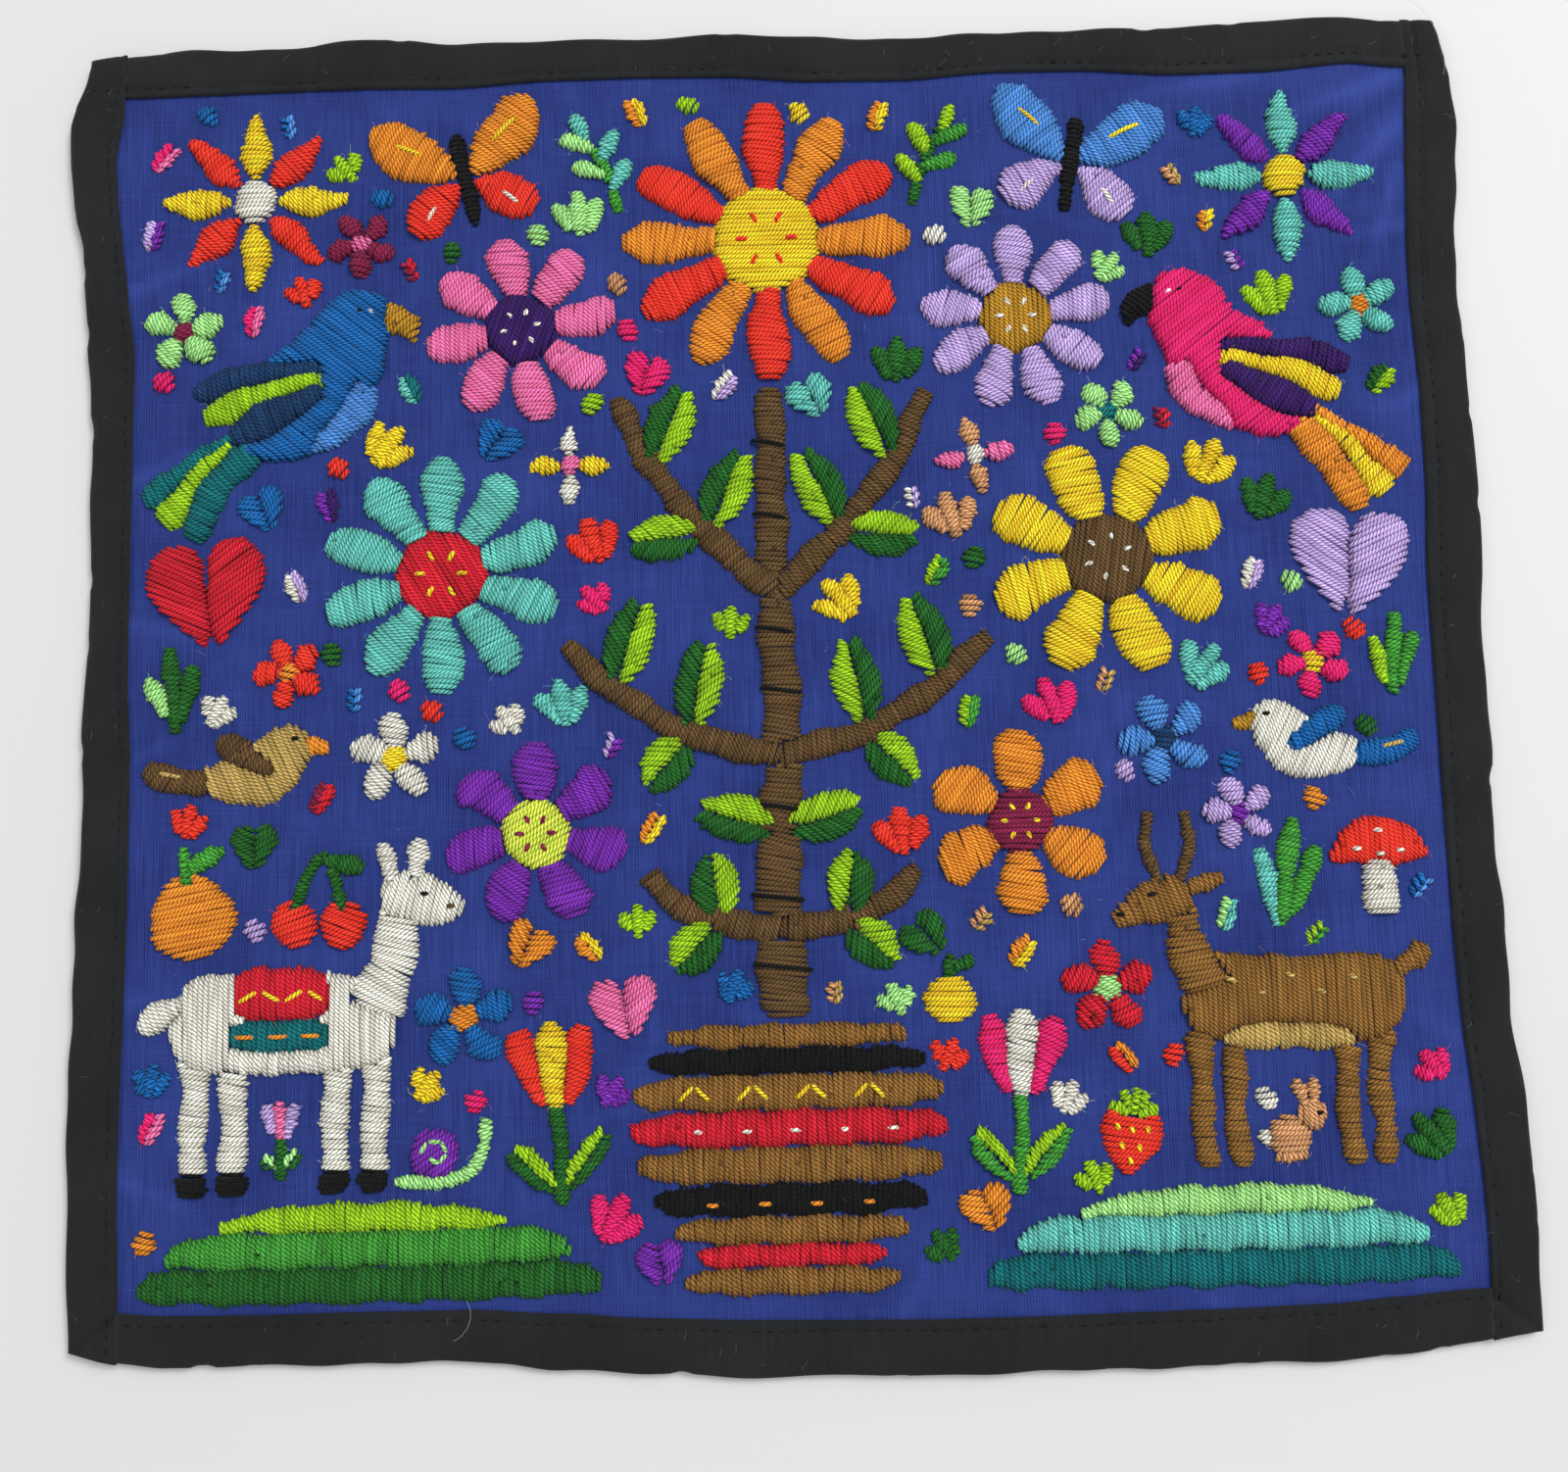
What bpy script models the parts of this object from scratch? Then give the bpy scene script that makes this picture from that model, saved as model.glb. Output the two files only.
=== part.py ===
"""An embroidered wall cloth of the arpillera kind, laid flat with its front up.

A blue cotton ground has raised wool embroidery all over it, and a folded black
cotton strip along each of its four edges. Lengths in the tables are millimetres
seen from the front, with x to the right and y to the top of the picture.
"""

import math

import bmesh
import bpy

MM = 0.001

# Cloth sizes
CLOTH = 1.0
AIR = 0.3
BACK_LEAF = (0.0, CLOTH)
GROUND_LOW = BACK_LEAF[1] + AIR
GROUND_TOP = GROUND_LOW + CLOTH
FRONT_LEAF = (GROUND_TOP + AIR, GROUND_TOP + AIR + CLOTH)
FOLD_RADIUS = (FRONT_LEAF[1] - CLOTH) / 2
RIM_INSIDE_FOLD = 3.6
STRIP_STATIONS = 30
GROUND_CELLS = 14

# Embroidery sizes
PAD_LOW = GROUND_TOP + AIR
PAD_TOP = 4.2
PAD_STEP = 0.13
PAD_SHOULDER = 0.9
PAD_OVERLAP = 0.35
THINNEST_LINE = 2.8

# Each side of the binding: along the side, outer edge, inner edge
TOP = (
    (-205, 194.0, 182.9), (-190, 195.8, 181.7), (-174, 197.0, 182.1), (-147, 196.9, 182.6),
    (-120, 199.0, 182.8), (-93, 197.2, 182.4), (-66, 197.2, 184.2), (-39, 197.4, 184.4),
    (-12, 197.9, 184.0), (15, 196.6, 181.8), (43, 194.9, 181.4), (70, 196.4, 183.2),
    (97, 196.4, 183.0), (124, 196.4, 181.0), (151, 197.9, 181.2), (178, 198.1, 183.2),
    (192, 197.1, 181.5), (206, 195.4, 180.4),
)
BOTTOM = (
    (-204, -186.6, -176.2), (-190, -189.9, -176.3), (-177, -191.8, -177.4), (-150, -191.9, -177.8),
    (-120, -191.8, -177.6), (-90, -192.2, -177.8), (-66, -194.7, -179.4), (-40, -196.9, -181.4),
    (-12, -198.2, -182.6), (15, -198.6, -183.2), (43, -198.9, -183.6), (70, -198.8, -183.5),
    (97, -198.5, -183.1), (124, -198.3, -182.8), (151, -198.0, -182.2), (170, -196.5, -180.8),
    (190, -194.4, -179.2), (209, -190.8, -178.8),
)
LEFT = (
    (-187, -203.5, -189.5), (-170, -204.3, -189.6), (-145, -205.1, -190.4), (-120, -205.1, -190.2),
    (-95, -204.6, -189.5), (-70, -203.9, -188.9), (-45, -202.7, -188.8), (-20, -203.2, -188.8),
    (0, -202.9, -189.9), (25, -201.8, -189.9), (50, -202.0, -189.9), (75, -202.4, -189.8),
    (100, -203.6, -189.6), (120, -205.0, -192.0), (134, -206.3, -193.6), (148, -208.7, -195.2),
    (162, -210.1, -196.1), (176, -210.1, -194.0), (190, -206.0, -193.2), (194, -205.2, -193.2),
)
RIGHT = (
    (-191, 208.9, 195.0), (-177, 209.6, 195.4), (-163, 210.2, 195.8), (-150, 210.0, 195.6),
    (-127, 209.1, 194.4), (-102, 207.1, 192.6), (-77, 207.0, 191.9), (-52, 206.0, 191.7),
    (-26, 207.0, 191.7), (0, 206.7, 191.7), (26, 208.1, 191.7), (53, 209.1, 193.2),
    (80, 208.2, 193.4), (107, 206.9, 192.3), (121, 207.3, 192.4), (149, 209.0, 193.6),
    (163, 210.0, 194.4), (177, 209.5, 195.4), (190, 206.8, 195.0), (195, 205.6, 195.0),
)

# Places where the laid cloth stands off the table: x, y, radius, height
RIPPLES = (
    (-208, 162, 62, 0.6), (208, 174, 60, 0.5), (212, -140, 64, 0.5),
    (60, -202, 70, 0.5), (-118, 202, 62, 0.5), (-206, -60, 64, 0.4),
)

# Yarn and cloth colours in sRGB, 0 to 255
COTTON = {"cotton_blue": (50, 62, 140), "cotton_black": (38, 41, 41)}
YARN = {
    "white": (236, 231, 218), "black": (27, 28, 28), "tan": (196, 160, 92), "gold": (178, 132, 36),
    "golden_brown": (140, 97, 42), "dark_brown": (100, 73, 42), "peach": (196, 142, 98),
    "red": (238, 56, 40), "crimson": (190, 32, 50), "wine": (124, 30, 66),
    "hot_pink": (236, 34, 108), "pink": (242, 112, 164), "orange": (246, 150, 46),
    "yellow": (242, 210, 44), "neon_lime": (212, 238, 86), "lime": (152, 200, 32),
    "pale_green": (166, 224, 140), "grass_green": (70, 152, 58), "dark_green": (36, 98, 44),
    "teal": (24, 110, 112), "turquoise": (92, 188, 178), "lake_blue": (26, 114, 186),
    "sky_blue": (84, 142, 208), "navy": (26, 56, 94), "lilac": (188, 165, 216),
    "violet": (122, 60, 172), "deep_purple": (56, 26, 96),
}

PARROT_BLUE = ("lake_blue", "navy", "teal", "lime", "gold", "sky_blue")
PARROT_PINK = ("hot_pink", "deep_purple", "orange", "yellow", "black", "pink")

# The embroidered motifs: name, kind, x, y, size, turn, mirror, yarns
MOTIFS = (
    ("tree", "tree", 0, 0, 100, 0, 1, ("dark_brown", "dark_green", "lime")),
    ("pot", "pot", 0, -138, 92, 0, 1, ("golden_brown", "black", "crimson")),
    ("flower_top", "daisy12", 0, 132, 88, 0, 1, ("red", "yellow", "orange")),
    ("flower_upper_left", "daisy8", -74, 106, 58, 10, 1, ("pink", "deep_purple")),
    ("flower_upper_right", "daisy9", 74, 106, 58, 0, 1, ("lilac", "gold")),
    ("flower_mid_left", "daisy10", -98, 32, 72, 0, 1, ("turquoise", "crimson")),
    ("flower_mid_right", "daisy8", 98, 32, 72, 20, 1, ("yellow", "dark_brown")),
    ("flower_low_left", "daisy7", -71, -45, 54, 0, 1, ("violet", "neon_lime")),
    ("flower_low_right", "daisy6", 69, -45, 54, 0, 1, ("orange", "wine")),
    ("parrot_left", "parrot", -145, 84, 82, 0, 1, PARROT_BLUE),
    ("parrot_right", "parrot", 146, 84, 82, 0, -1, PARROT_PINK),
    ("star_left", "star", -154, 148, 62, 0, 1, ("yellow", "red", "white")),
    ("star_right", "star", 157, 148, 60, 0, 1, ("turquoise", "violet", "yellow")),
    ("butterfly_left", "butterfly", -91, 156, 54, 12, 1, ("orange", "red", "black")),
    ("butterfly_right", "butterfly", 93, 156, 54, -10, 1, ("sky_blue", "lilac", "black")),
    ("llama", "llama", -138, -98, 94, 0, 1, ("white", "crimson", "teal", "black")),
    ("deer", "deer", 139, -98, 94, 0, -1, ("golden_brown", "tan", "dark_brown")),
    ("hill_left", "hill", -119, -163.5, 130, 0, 1, ("dark_green", "grass_green", "lime")),
    ("hill_right", "hill", 121, -165, 132, 0, -1, ("teal", "turquoise", "pale_green")),
    ("tulip_left", "tulip", -66, -124, 52, 4, 1, ("red", "yellow", "dark_green", "lime")),
    ("tulip_right", "tulip", 66, -124, 52, -3, 1, ("hot_pink", "white", "grass_green", "lime")),
    ("tulip_small", "tulip", -144.3, -130, 22, 0, 1, ("lilac", "pink", "dark_green", "pale_green")),
    ("heart_left", "heart", -167, 27, 38, 6, 1, ("crimson",)),
    ("heart_right", "heart", 169, 28, 38, -6, 1, ("lilac",)),
    ("small_bird_left", "small_bird", -156, -24, 56, 0, 1, ("tan", "dark_brown", "orange")),
    ("small_bird_right", "small_bird", 157, -24, 56, 0, -1, ("white", "lake_blue", "gold")),
    ("daisy_left", "daisy5", -112, -22, 27, 0, 1, ("white", "yellow")),
    ("daisy_right", "daisy5", 112, -22, 27, 20, 1, ("sky_blue", "navy")),
    ("daisy_corner_left", "daisy5", -175, 108, 24, 0, 1, ("pale_green", "wine")),
    ("daisy_corner_right", "daisy5", 177, 107, 24, 12, 1, ("turquoise", "orange")),
    ("sprig_left", "sprig", -50, 158, 34, 20, 1, ("grass_green", "turquoise", "pale_green")),
    ("sprig_right", "sprig", 50, 158, 34, -20, -1, ("dark_green", "lime", "grass_green")),
    ("fruit_left", "fruit", -171, -62, 34, 10, 1, ("orange", "grass_green")),
    ("mushroom_right", "mushroom", 172, -60, 32, 0, 1, ("red", "white")),
    ("cherry_left", "cherry", -134, -62, 30, 0, 1, ("red", "dark_green")),
    ("leafy_right", "leafy", 145, -61, 32, -8, 1, ("grass_green", "turquoise")),
    ("rabbit_right", "rabbit", 143.5, -132, 24, 0, 1, ("peach", "white")),
    ("snail_left", "snail", -99, -133, 28, 0, 1, ("violet", "pale_green")),
    ("strawberry_right", "strawberry", 97, -134, 26, -8, 1, ("red", "lime")),
    ("heart_low_left", "heart", -46, -96, 21, 8, 1, ("pink",)),
    ("fruit_low_right", "fruit", 47, -92, 20, 0, 1, ("yellow", "dark_green")),
    ("leafy_left", "leafy", -177, 0, 26, 6, 1, ("dark_green", "pale_green")),
    ("leafy_upper_right", "leafy", 180, 2, 24, -4, 1, ("grass_green", "lime")),
    ("daisy_low_left", "daisy5", -92, -97, 29, 0, 1, ("lake_blue", "orange")),
    ("daisy_low_right", "daisy5", 92, -93, 27, 0, 1, ("crimson", "pale_green")),
    ("star_low_left", "spark", -60, 64, 26, 0, 1, ("white", "yellow", "pink")),
    ("star_low_right", "spark", 60, 64, 26, 10, 1, ("peach", "pink", "white")),
    ("daisy_beside_leafy", "daisy5", 132.5, -44, 21, 14, 1, ("lilac", "violet")),
    ("daisy_right_mid", "daisy5", 156.5, -0.5, 21, 28, 1, ("hot_pink", "yellow")),
    ("daisy_upper_right", "daisy5", 100.5, 76, 21, 34, 1, ("pale_green", "teal")),
    ("daisy_left_mid", "daisy5", -143, 4, 21, 21, 1, ("red", "orange")),
    ("daisy_upper_left", "daisy5", -122, 134, 21, -40, 1, ("wine", "pink")),
    ("tuft_mid_left", "tuft", -63, -7, 17.6, 10, 1, ("turquoise",)),
    ("tuft_mid_right", "tuft", 52.5, 46, 17.6, 11, 1, ("peach",)),
)

# Spine fraction and width fraction of a petal
PETAL = ((0.0, 0.42), (0.34, 0.8), (0.72, 1.0), (0.97, 0.5))
SHORT_PETAL = ((0.0, 0.5), (0.62, 1.0), (0.97, 0.55))
LEAF = ((0.0, 0.0), (0.3, 0.46), (0.66, 0.46), (1.0, 0.0))
PETAL_WIDTH = {5: 34, 6: 30, 7: 26, 8: 23, 9: 20.5, 10: 18.5, 12: 15.5}

# Tree of life: arms from the trunk, then a leaf for each root and tip
ARMS = (
    ((0, 24), (20, 42), (36, 62), (46, 84)),
    ((0, -24), (26, -18), (48, -4), (62, 10)),
    ((0, -74), (18, -72), (30, -67), (39, -58)),
)
LEAVES = (
    ((20, 42), (7, 70)), ((20, 42), (46, 40)), ((36, 62), (24, 90)),
    ((26, -18), (20, 14)), ((48, -4), (38, 26)), ((26, -18), (40, -34)),
    ((0, -46), (27, -38)), ((18, -72), (21, -50)), ((18, -72), (33, -86)),
)


# Shapes of stitched blocks, drawn about the motif's middle at size 100
def line(stations, yarn):
    """A line of satin stitch: x, y and width at each station."""
    return ("line", tuple(stations), yarn)


def area(points, yarn):
    return ("area", tuple(points), yarn)


def petal(root, tip, width, yarn, shape=PETAL):
    (ax, ay), (bx, by) = root, tip
    return line([(ax + (bx - ax) * t, ay + (by - ay) * t, width * w) for t, w in shape], yarn)


def ray(angle, inner, outer, width, yarn, at=(0, 0), shape=PETAL):
    c, s = math.cos(math.radians(angle)), math.sin(math.radians(angle))
    root = (at[0] + inner * c, at[1] + inner * s)
    return petal(root, (at[0] + outer * c, at[1] + outer * s), width, yarn, shape)


def disc(x, y, width, yarn, sides=12, tall=1.0):
    turns = [2 * math.pi * (k + 0.5) / sides for k in range(sides)]
    return area([(x + width / 2 * math.cos(a), y + width / 2 * tall * math.sin(a)) for a in turns], yarn)


def mirrored(block):
    kind, points, yarn = block
    if kind == "line":
        return ("line", tuple((-x, y, w) for x, y, w in points), yarn)
    return ("area", tuple((-x, y) for x, y in reversed(points)), yarn)


def leaf(root, tip, width, light, dark):
    """Two halves that meet on the midrib."""
    (ax, ay), (bx, by) = root, tip
    dx, dy = bx - ax, by - ay
    long = math.hypot(dx, dy)
    left = [(ax + dx * t - dy / long * width * h, ay + dy * t + dx / long * width * h) for t, h in LEAF]
    right = [(ax + dx * t + dy / long * width * h, ay + dy * t - dx / long * width * h) for t, h in LEAF]
    return [area(left[::-1], light), area(right, dark)]


# Motif kinds, each a list of blocks
def daisy(petals, yarns):
    other = yarns[2] if len(yarns) > 2 else yarns[0]
    turns = [(90 + 360 * k / petals, yarns[0] if k % 2 == 0 else other) for k in range(petals)]
    small = petals == 5
    root, heart_width, shape = (11, 30, SHORT_PETAL) if small else (16, 38 if petals > 6 else 36, PETAL)
    blocks = [ray(angle, root, 50, PETAL_WIDTH[petals], yarn, shape=shape) for angle, yarn in turns]
    return blocks + [disc(0, 0, heart_width, yarns[1], sides=8 if small else 12)]


def heart(yarns):
    half = area([(0, 28), (-12, 42), (-32, 44), (-46, 30), (-46, 8), (-26, -20), (0, -44)], yarns[0])
    return [half, mirrored(half)]


def star(yarns, rays=8, half_width=9):
    blocks = []
    for k in range(rays):
        turn = math.radians(90 + 360 * k / rays)
        c, s = math.cos(turn), math.sin(turn)
        kite = ((9, 0), (24, -half_width), (50, 0), (24, half_width))
        blocks.append(area([(r * c - q * s, r * s + q * c) for r, q in kite], yarns[k % 2]))
    return blocks + [disc(0, 0, 22, yarns[2], sides=8)]


def spark(yarns):
    return star(yarns, rays=4, half_width=13)


def tulip(yarns):
    cup, middle, green, lime = yarns
    blocks = [line([(0, 8, 7), (1, -20, 7), (0, -50, 8)], green)]
    blocks += leaf((1, -44), (30, -8), 16, lime, green) + leaf((-1, -44), (-30, -14), 16, green, lime)
    blocks += [petal((-6, 4), (-19, 46), 19, cup), petal((6, 4), (19, 46), 19, cup)]
    return blocks + [petal((0, 2), (0, 50), 19, middle)]


def sprig(yarns):
    stem, a, b = yarns
    blocks = [line([(0, -50, 8), (3, -20, 8), (0, 14, 8), (-4, 32, 8)], stem)]
    blocks += [petal((1, -28), (26, -9), 15, a), petal((2, -14), (-24, 5), 15, b)]
    blocks += [petal((1, 0), (25, 21), 15, a), petal((-1, 14), (-25, 33), 15, b)]
    return blocks + [petal((-3, 24), (-6, 50), 15, a)]


def butterfly(yarns):
    upper, lower, body = yarns
    top = area([(2, 4), (6, -4), (22, -3), (40, 6), (50, 22), (46, 36), (30, 38), (14, 24)], upper)
    low = area([(3, -6), (8, -18), (16, -32), (28, -36), (38, -26), (36, -12), (22, -5)], lower)
    trunk = line([(0, 22, 7), (0, 8, 9), (0, -14, 8), (0, -32, 5)], body)
    return [top, mirrored(top), low, mirrored(low), trunk]


def small_bird(yarns):
    body, wing, beak = yarns
    breast = ((-24, -4), (-18, -12), (-6, -18), (12, -20), (28, -10), (36, 6), (34, 18), (24, 24), (12, 20),
              (4, 8), (-12, 6))
    blocks = [area(breast, body), area([(33, 18), (33, 6), (50, 10)], beak)]
    blocks.append(line([(-18, -8, 12), (-36, -6, 14), (-50, 2, 12)], wing))
    return blocks + [petal((16, -2), (-14, 16), 15, wing)]


def parrot(yarns):
    body, wing, tail, accent, beak, breast = yarns
    blocks = []
    for x, y, width, yarn in ((-50, -34, 11, tail), (-43, -42, 11, accent), (-33, -48, 11, tail)):
        blocks.append(line([(-8, -10, width), (-9 + x / 2, -7 + y / 2, width + 1), (x, y, width - 1)], yarn))
    outline = ((-18, -10), (-10, -20), (6, -20), (22, -10), (32, 4), (38, 20), (40, 32), (35, 42), (24, 44),
               (14, 38), (8, 28), (-4, 20), (-14, 8))
    blocks.append(area(outline, body))
    blocks.append(area([(22, 0), (14, -8), (9, -18), (22, -14), (33, -4), (35, 6), (26, 10)], breast))
    blocks.append(area([(37, 40), (37, 26), (42, 27), (48, 22), (50, 32)], beak))
    for x, y, drop, yarn in ((-34, 6, 0, wing), (-30, -4, 4, accent), (-20, -12, 8, wing)):
        blocks.append(petal((14, 14 - drop), (x, y), 14, yarn))
    return blocks


def llama(yarns):
    coat, blanket, stripe, hoof = yarns
    blocks = []
    for x in (-33, -21, 10, 22):
        blocks.append(line([(x, -8, 9), (x, -26, 8), (x - 0.5, -46, 8)], coat))
        blocks.append(area([(x - 5, -50), (x + 4, -50), (x + 4, -43), (x - 5, -43)], hoof))
    trunk = ((-40, -8), (-32, -14), (20, -14), (28, -8), (28, 6), (20, 14), (6, 16), (-20, 17), (-34, 15),
             (-41, 6))
    blocks += [area(trunk, coat), line([(22, 4, 18), (27, 18, 14), (30, 36, 12)], coat)]
    blocks.append(area([(24, 32), (36, 29), (48, 31), (49, 38), (42, 43), (32, 47), (24, 44)], coat))
    blocks += [petal((27, 42), (24, 55), 6, coat), petal((34, 43), (36, 56), 6, coat)]
    blocks.append(petal((-36, 8), (-50, 0), 9, coat))
    blocks.append(area([(-22, 1), (9, 1), (8, 17), (-22, 18)], blanket))
    return blocks + [area([(-23, -8), (9, -8), (9, 2), (-23, 2)], stripe)]


def deer(yarns):
    coat, belly, antler = yarns
    blocks = [line([(x, -8, 8), (x + 1, -26, 6.5), (x, -49, 6.5)], coat) for x in (-32, -22, 12, 22)]
    trunk = ((-40, -6), (-30, -14), (16, -13), (26, -8), (28, 4), (22, 14), (8, 14), (-12, 13), (-32, 14),
             (-40, 8))
    blocks += [area(trunk, coat), area([(-27, -15), (18, -14), (14, -8), (0, -6), (-22, -8)], belly)]
    blocks.append(line([(20, 4, 17), (25, 18, 11), (28, 32, 10)], coat))
    blocks.append(area([(22, 27), (36, 24), (46, 23), (48, 28), (40, 35), (30, 40), (23, 36)], coat))
    blocks += [petal((25, 34), (13, 38), 6, coat), petal((-37, 8), (-49, 14), 8, coat)]
    blocks.append(line([(27, 36, 3), (22, 48, 3), (24, 58, 3)], antler))
    return blocks + [line([(32, 36, 3), (37, 48, 3), (35, 58, 3)], antler)]


def rabbit(yarns):
    fur, tail = yarns
    blocks = [disc(-8, -16, 54, fur, tall=0.9)]
    blocks += [petal((14, 8), (4, 50), 14, fur), petal((22, 8), (26, 50), 14, fur)]
    blocks += [disc(20, 8, 34, fur, sides=10), disc(-36, -18, 18, tail, sides=8)]
    return blocks + [line([(-24, -38, 12), (-6, -40, 13), (12, -38, 12)], fur)]


def snail(yarns):
    shell, foot = yarns
    stations = ((-46, -34, 8), (-20, -34, 12), (12, -33, 13), (34, -26, 12), (43, -8, 11), (45, 6, 11))
    return [line(stations, foot), line([(45, 2, 8), (45, 14, 8), (47, 26, 8)], foot), disc(-6, -6, 50, shell)]


def strawberry(yarns):
    red, green = yarns
    berry = ((0, -48), (20, -30), (34, -6), (36, 12), (26, 24), (0, 28), (-26, 24), (-36, 12), (-34, -6),
             (-20, -30))
    blocks = [area(berry, red)] + [ray(angle, 0, 28, 14, green, at=(0, 20)) for angle in (15, 60, 120, 165)]
    return blocks + [line([(0, 20, 9), (1, 34, 9), (2, 48, 9)], green)]


def leafy(yarns):
    green, lime = yarns
    sides = [petal((-1, -50), (-26, 18), 19, lime), petal((1, -50), (28, 26), 19, green)]
    return sides + [petal((0, -50), (2, 50), 20, green)]


def tuft(yarns):
    """Three short petals that spread from one root."""
    sides = [petal((-2, -36), (-40, 22), 34, yarns[0]), petal((2, -36), (40, 22), 34, yarns[0])]
    return sides + [petal((0, -38), (0, 42), 34, yarns[0])]


def mushroom(yarns):
    cap, stalk = yarns
    dome = ((-46, 0), (46, 0), (38, 24), (20, 40), (0, 45), (-20, 40), (-38, 24))
    return [area(dome, cap), area([(-18, -44), (18, -44), (14, 3), (-14, 3)], stalk)]


def cherry(yarns):
    red, green = yarns
    blocks = [disc(-24, -24, 46, red, sides=10), disc(24, -26, 46, red, sides=10)]
    blocks.append(line([(-24, -12, 9), (-12, 18, 9), (4, 44, 9)], green))
    blocks.append(line([(24, -12, 9), (17, 18, 9), (4, 44, 9)], green))
    return blocks + [petal((4, 38), (44, 26), 20, green)]


def fruit(yarns):
    skin, green = yarns
    ball = ((-10, 22), (-26, 10), (-38, -12), (-32, -36), (-12, -48), (12, -48), (32, -36), (38, -12),
            (26, 10), (10, 22))
    stalk = line([(0, 12, 9), (1, 30, 9), (2, 46, 9)], green)
    return [area(ball, skin), stalk, petal((2, 26), (36, 38), 18, green)]


def pot(yarns):
    clay, dark, accent = yarns
    bands = (
        (33, 40, 74, clay), (25, 33, 86, dark), (14, 25, 96, clay), (3, 14, 98, accent), (-8, 3, 94, clay),
        (-18, -8, 84, dark), (-26, -18, 72, clay), (-33, -26, 58, accent), (-41, -33, 66, clay),
    )
    blocks = []
    for low, high, width, yarn in bands:
        half = width / 2
        blocks.append(area([(-half, low), (half, low), (half - 1, high), (1 - half, high)], yarn))
    return blocks


def tree(yarns):
    bark, green, lime = yarns
    blocks = [line([(0, -99, 15), (-2, -60, 13), (2, -20, 11), (-1, 30, 10), (0, 86, 8)], bark)]
    for side in (1, -1):
        for arm in ARMS:
            blocks.append(line([(side * x, y, w) for (x, y), w in zip(arm, (8, 7.5, 7, 6))], bark))
        for (ax, ay), (bx, by) in LEAVES:
            halves = (lime, green) if side > 0 else (green, lime)
            blocks += leaf((side * ax, ay), (side * bx, by), 15, *halves)
    return blocks


def hill(yarns):
    low = area([(-50, -9), (50, -9), (50, -4), (46, -1), (-46, -1), (-50, -4)], yarns[0])
    middle = area([(-46, -1.5), (46, -1.5), (42, 4), (35, 6.5), (-37, 6.5), (-43, 3)], yarns[1])
    return [low, middle, area([(-36, 6), (34, 6), (24, 10), (8, 12), (-14, 12), (-28, 10)], yarns[2])]


KINDS = {
    "heart": heart, "star": star, "spark": spark, "tulip": tulip, "sprig": sprig, "butterfly": butterfly,
    "small_bird": small_bird, "parrot": parrot, "llama": llama, "deer": deer, "rabbit": rabbit,
    "snail": snail, "strawberry": strawberry, "leafy": leafy, "tuft": tuft, "mushroom": mushroom,
    "cherry": cherry, "fruit": fruit, "pot": pot, "tree": tree, "hill": hill,
}


def blocks_of(kind, yarns):
    if kind.startswith("daisy"):
        return daisy(int(kind[5:]), yarns)
    return KINDS[kind](yarns)


# Outline of the cloth
def along(table, column, where):
    """Value of one column of a side's table at a place along it, eased between rows."""
    if where <= table[0][0]:
        return table[0][column]
    for before, after in zip(table, table[1:]):
        if where <= after[0]:
            t = (where - before[0]) / (after[0] - before[0])
            t = 0.5 * t + 0.5 * t * t * (3 - 2 * t)
            return before[column] + (after[column] - before[column]) * t
    return table[-1][column]


def edge(table, where):
    """Outer edge with the small uneven waves that the seam draws into it."""
    start = table[4][1]
    short = 0.22 * math.sin(where / 4.3 + 2.2 * math.sin(where / 31 + start))
    long = 0.25 * math.sin(where / 9.1 + 2 * start)
    return along(table, 1, where) + short + long


def inner(table, where):
    return along(table, 2, where)


def lift(x, y):
    """Height that the whole cloth is raised by at its soft ripples."""
    height = 0.0
    for cx, cy, radius, tall in RIPPLES:
        near = ((x - cx) ** 2 + (y - cy) ** 2) / radius**2
        if near < 1:
            height += tall * (1 - near) ** 2
    return height


def between(a, b, t):
    return a + (b - a) * t


# Cloth meshes
def fold_path():
    """Cross-section of a folded strip: fraction from outer edge to inner, and height, at mid-thickness."""
    path = [(1.0, 0.0, FRONT_LEAF[1] - CLOTH / 2)]
    for degrees in (90, 180, 270):
        turn = math.radians(degrees)
        depth = FOLD_RADIUS * (1 + math.cos(turn)) + CLOTH / 2
        path.append((0.0, depth, CLOTH / 2 + FOLD_RADIUS * (1 + math.sin(turn))))
    path.append((1.0, 0.0, CLOTH / 2))
    return path


def strip_point(side, t, fraction, depth):
    """Place on a strip: t runs along it, fraction and depth run inwards from its outer edge."""
    if side in ("left", "right"):
        table = LEFT if side == "left" else RIGHT
        inward = 1 if side == "left" else -1
        y = between(-189, 195, t)
        x = between(edge(table, y) + inward * depth, inner(table, y), fraction)
        low, high = edge(BOTTOM, x), edge(TOP, x)
        return x, between(low, high, t)
    table = TOP if side == "top" else BOTTOM
    inward = -1 if side == "top" else 1
    level = 190 if side == "top" else -186
    x = between(inner(LEFT, level) + AIR, inner(RIGHT, level) - AIR, t)
    y = between(edge(table, x) + inward * depth, inner(table, x), fraction)
    return between(inner(LEFT, y) + AIR, inner(RIGHT, y) - AIR, t), y


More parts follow.
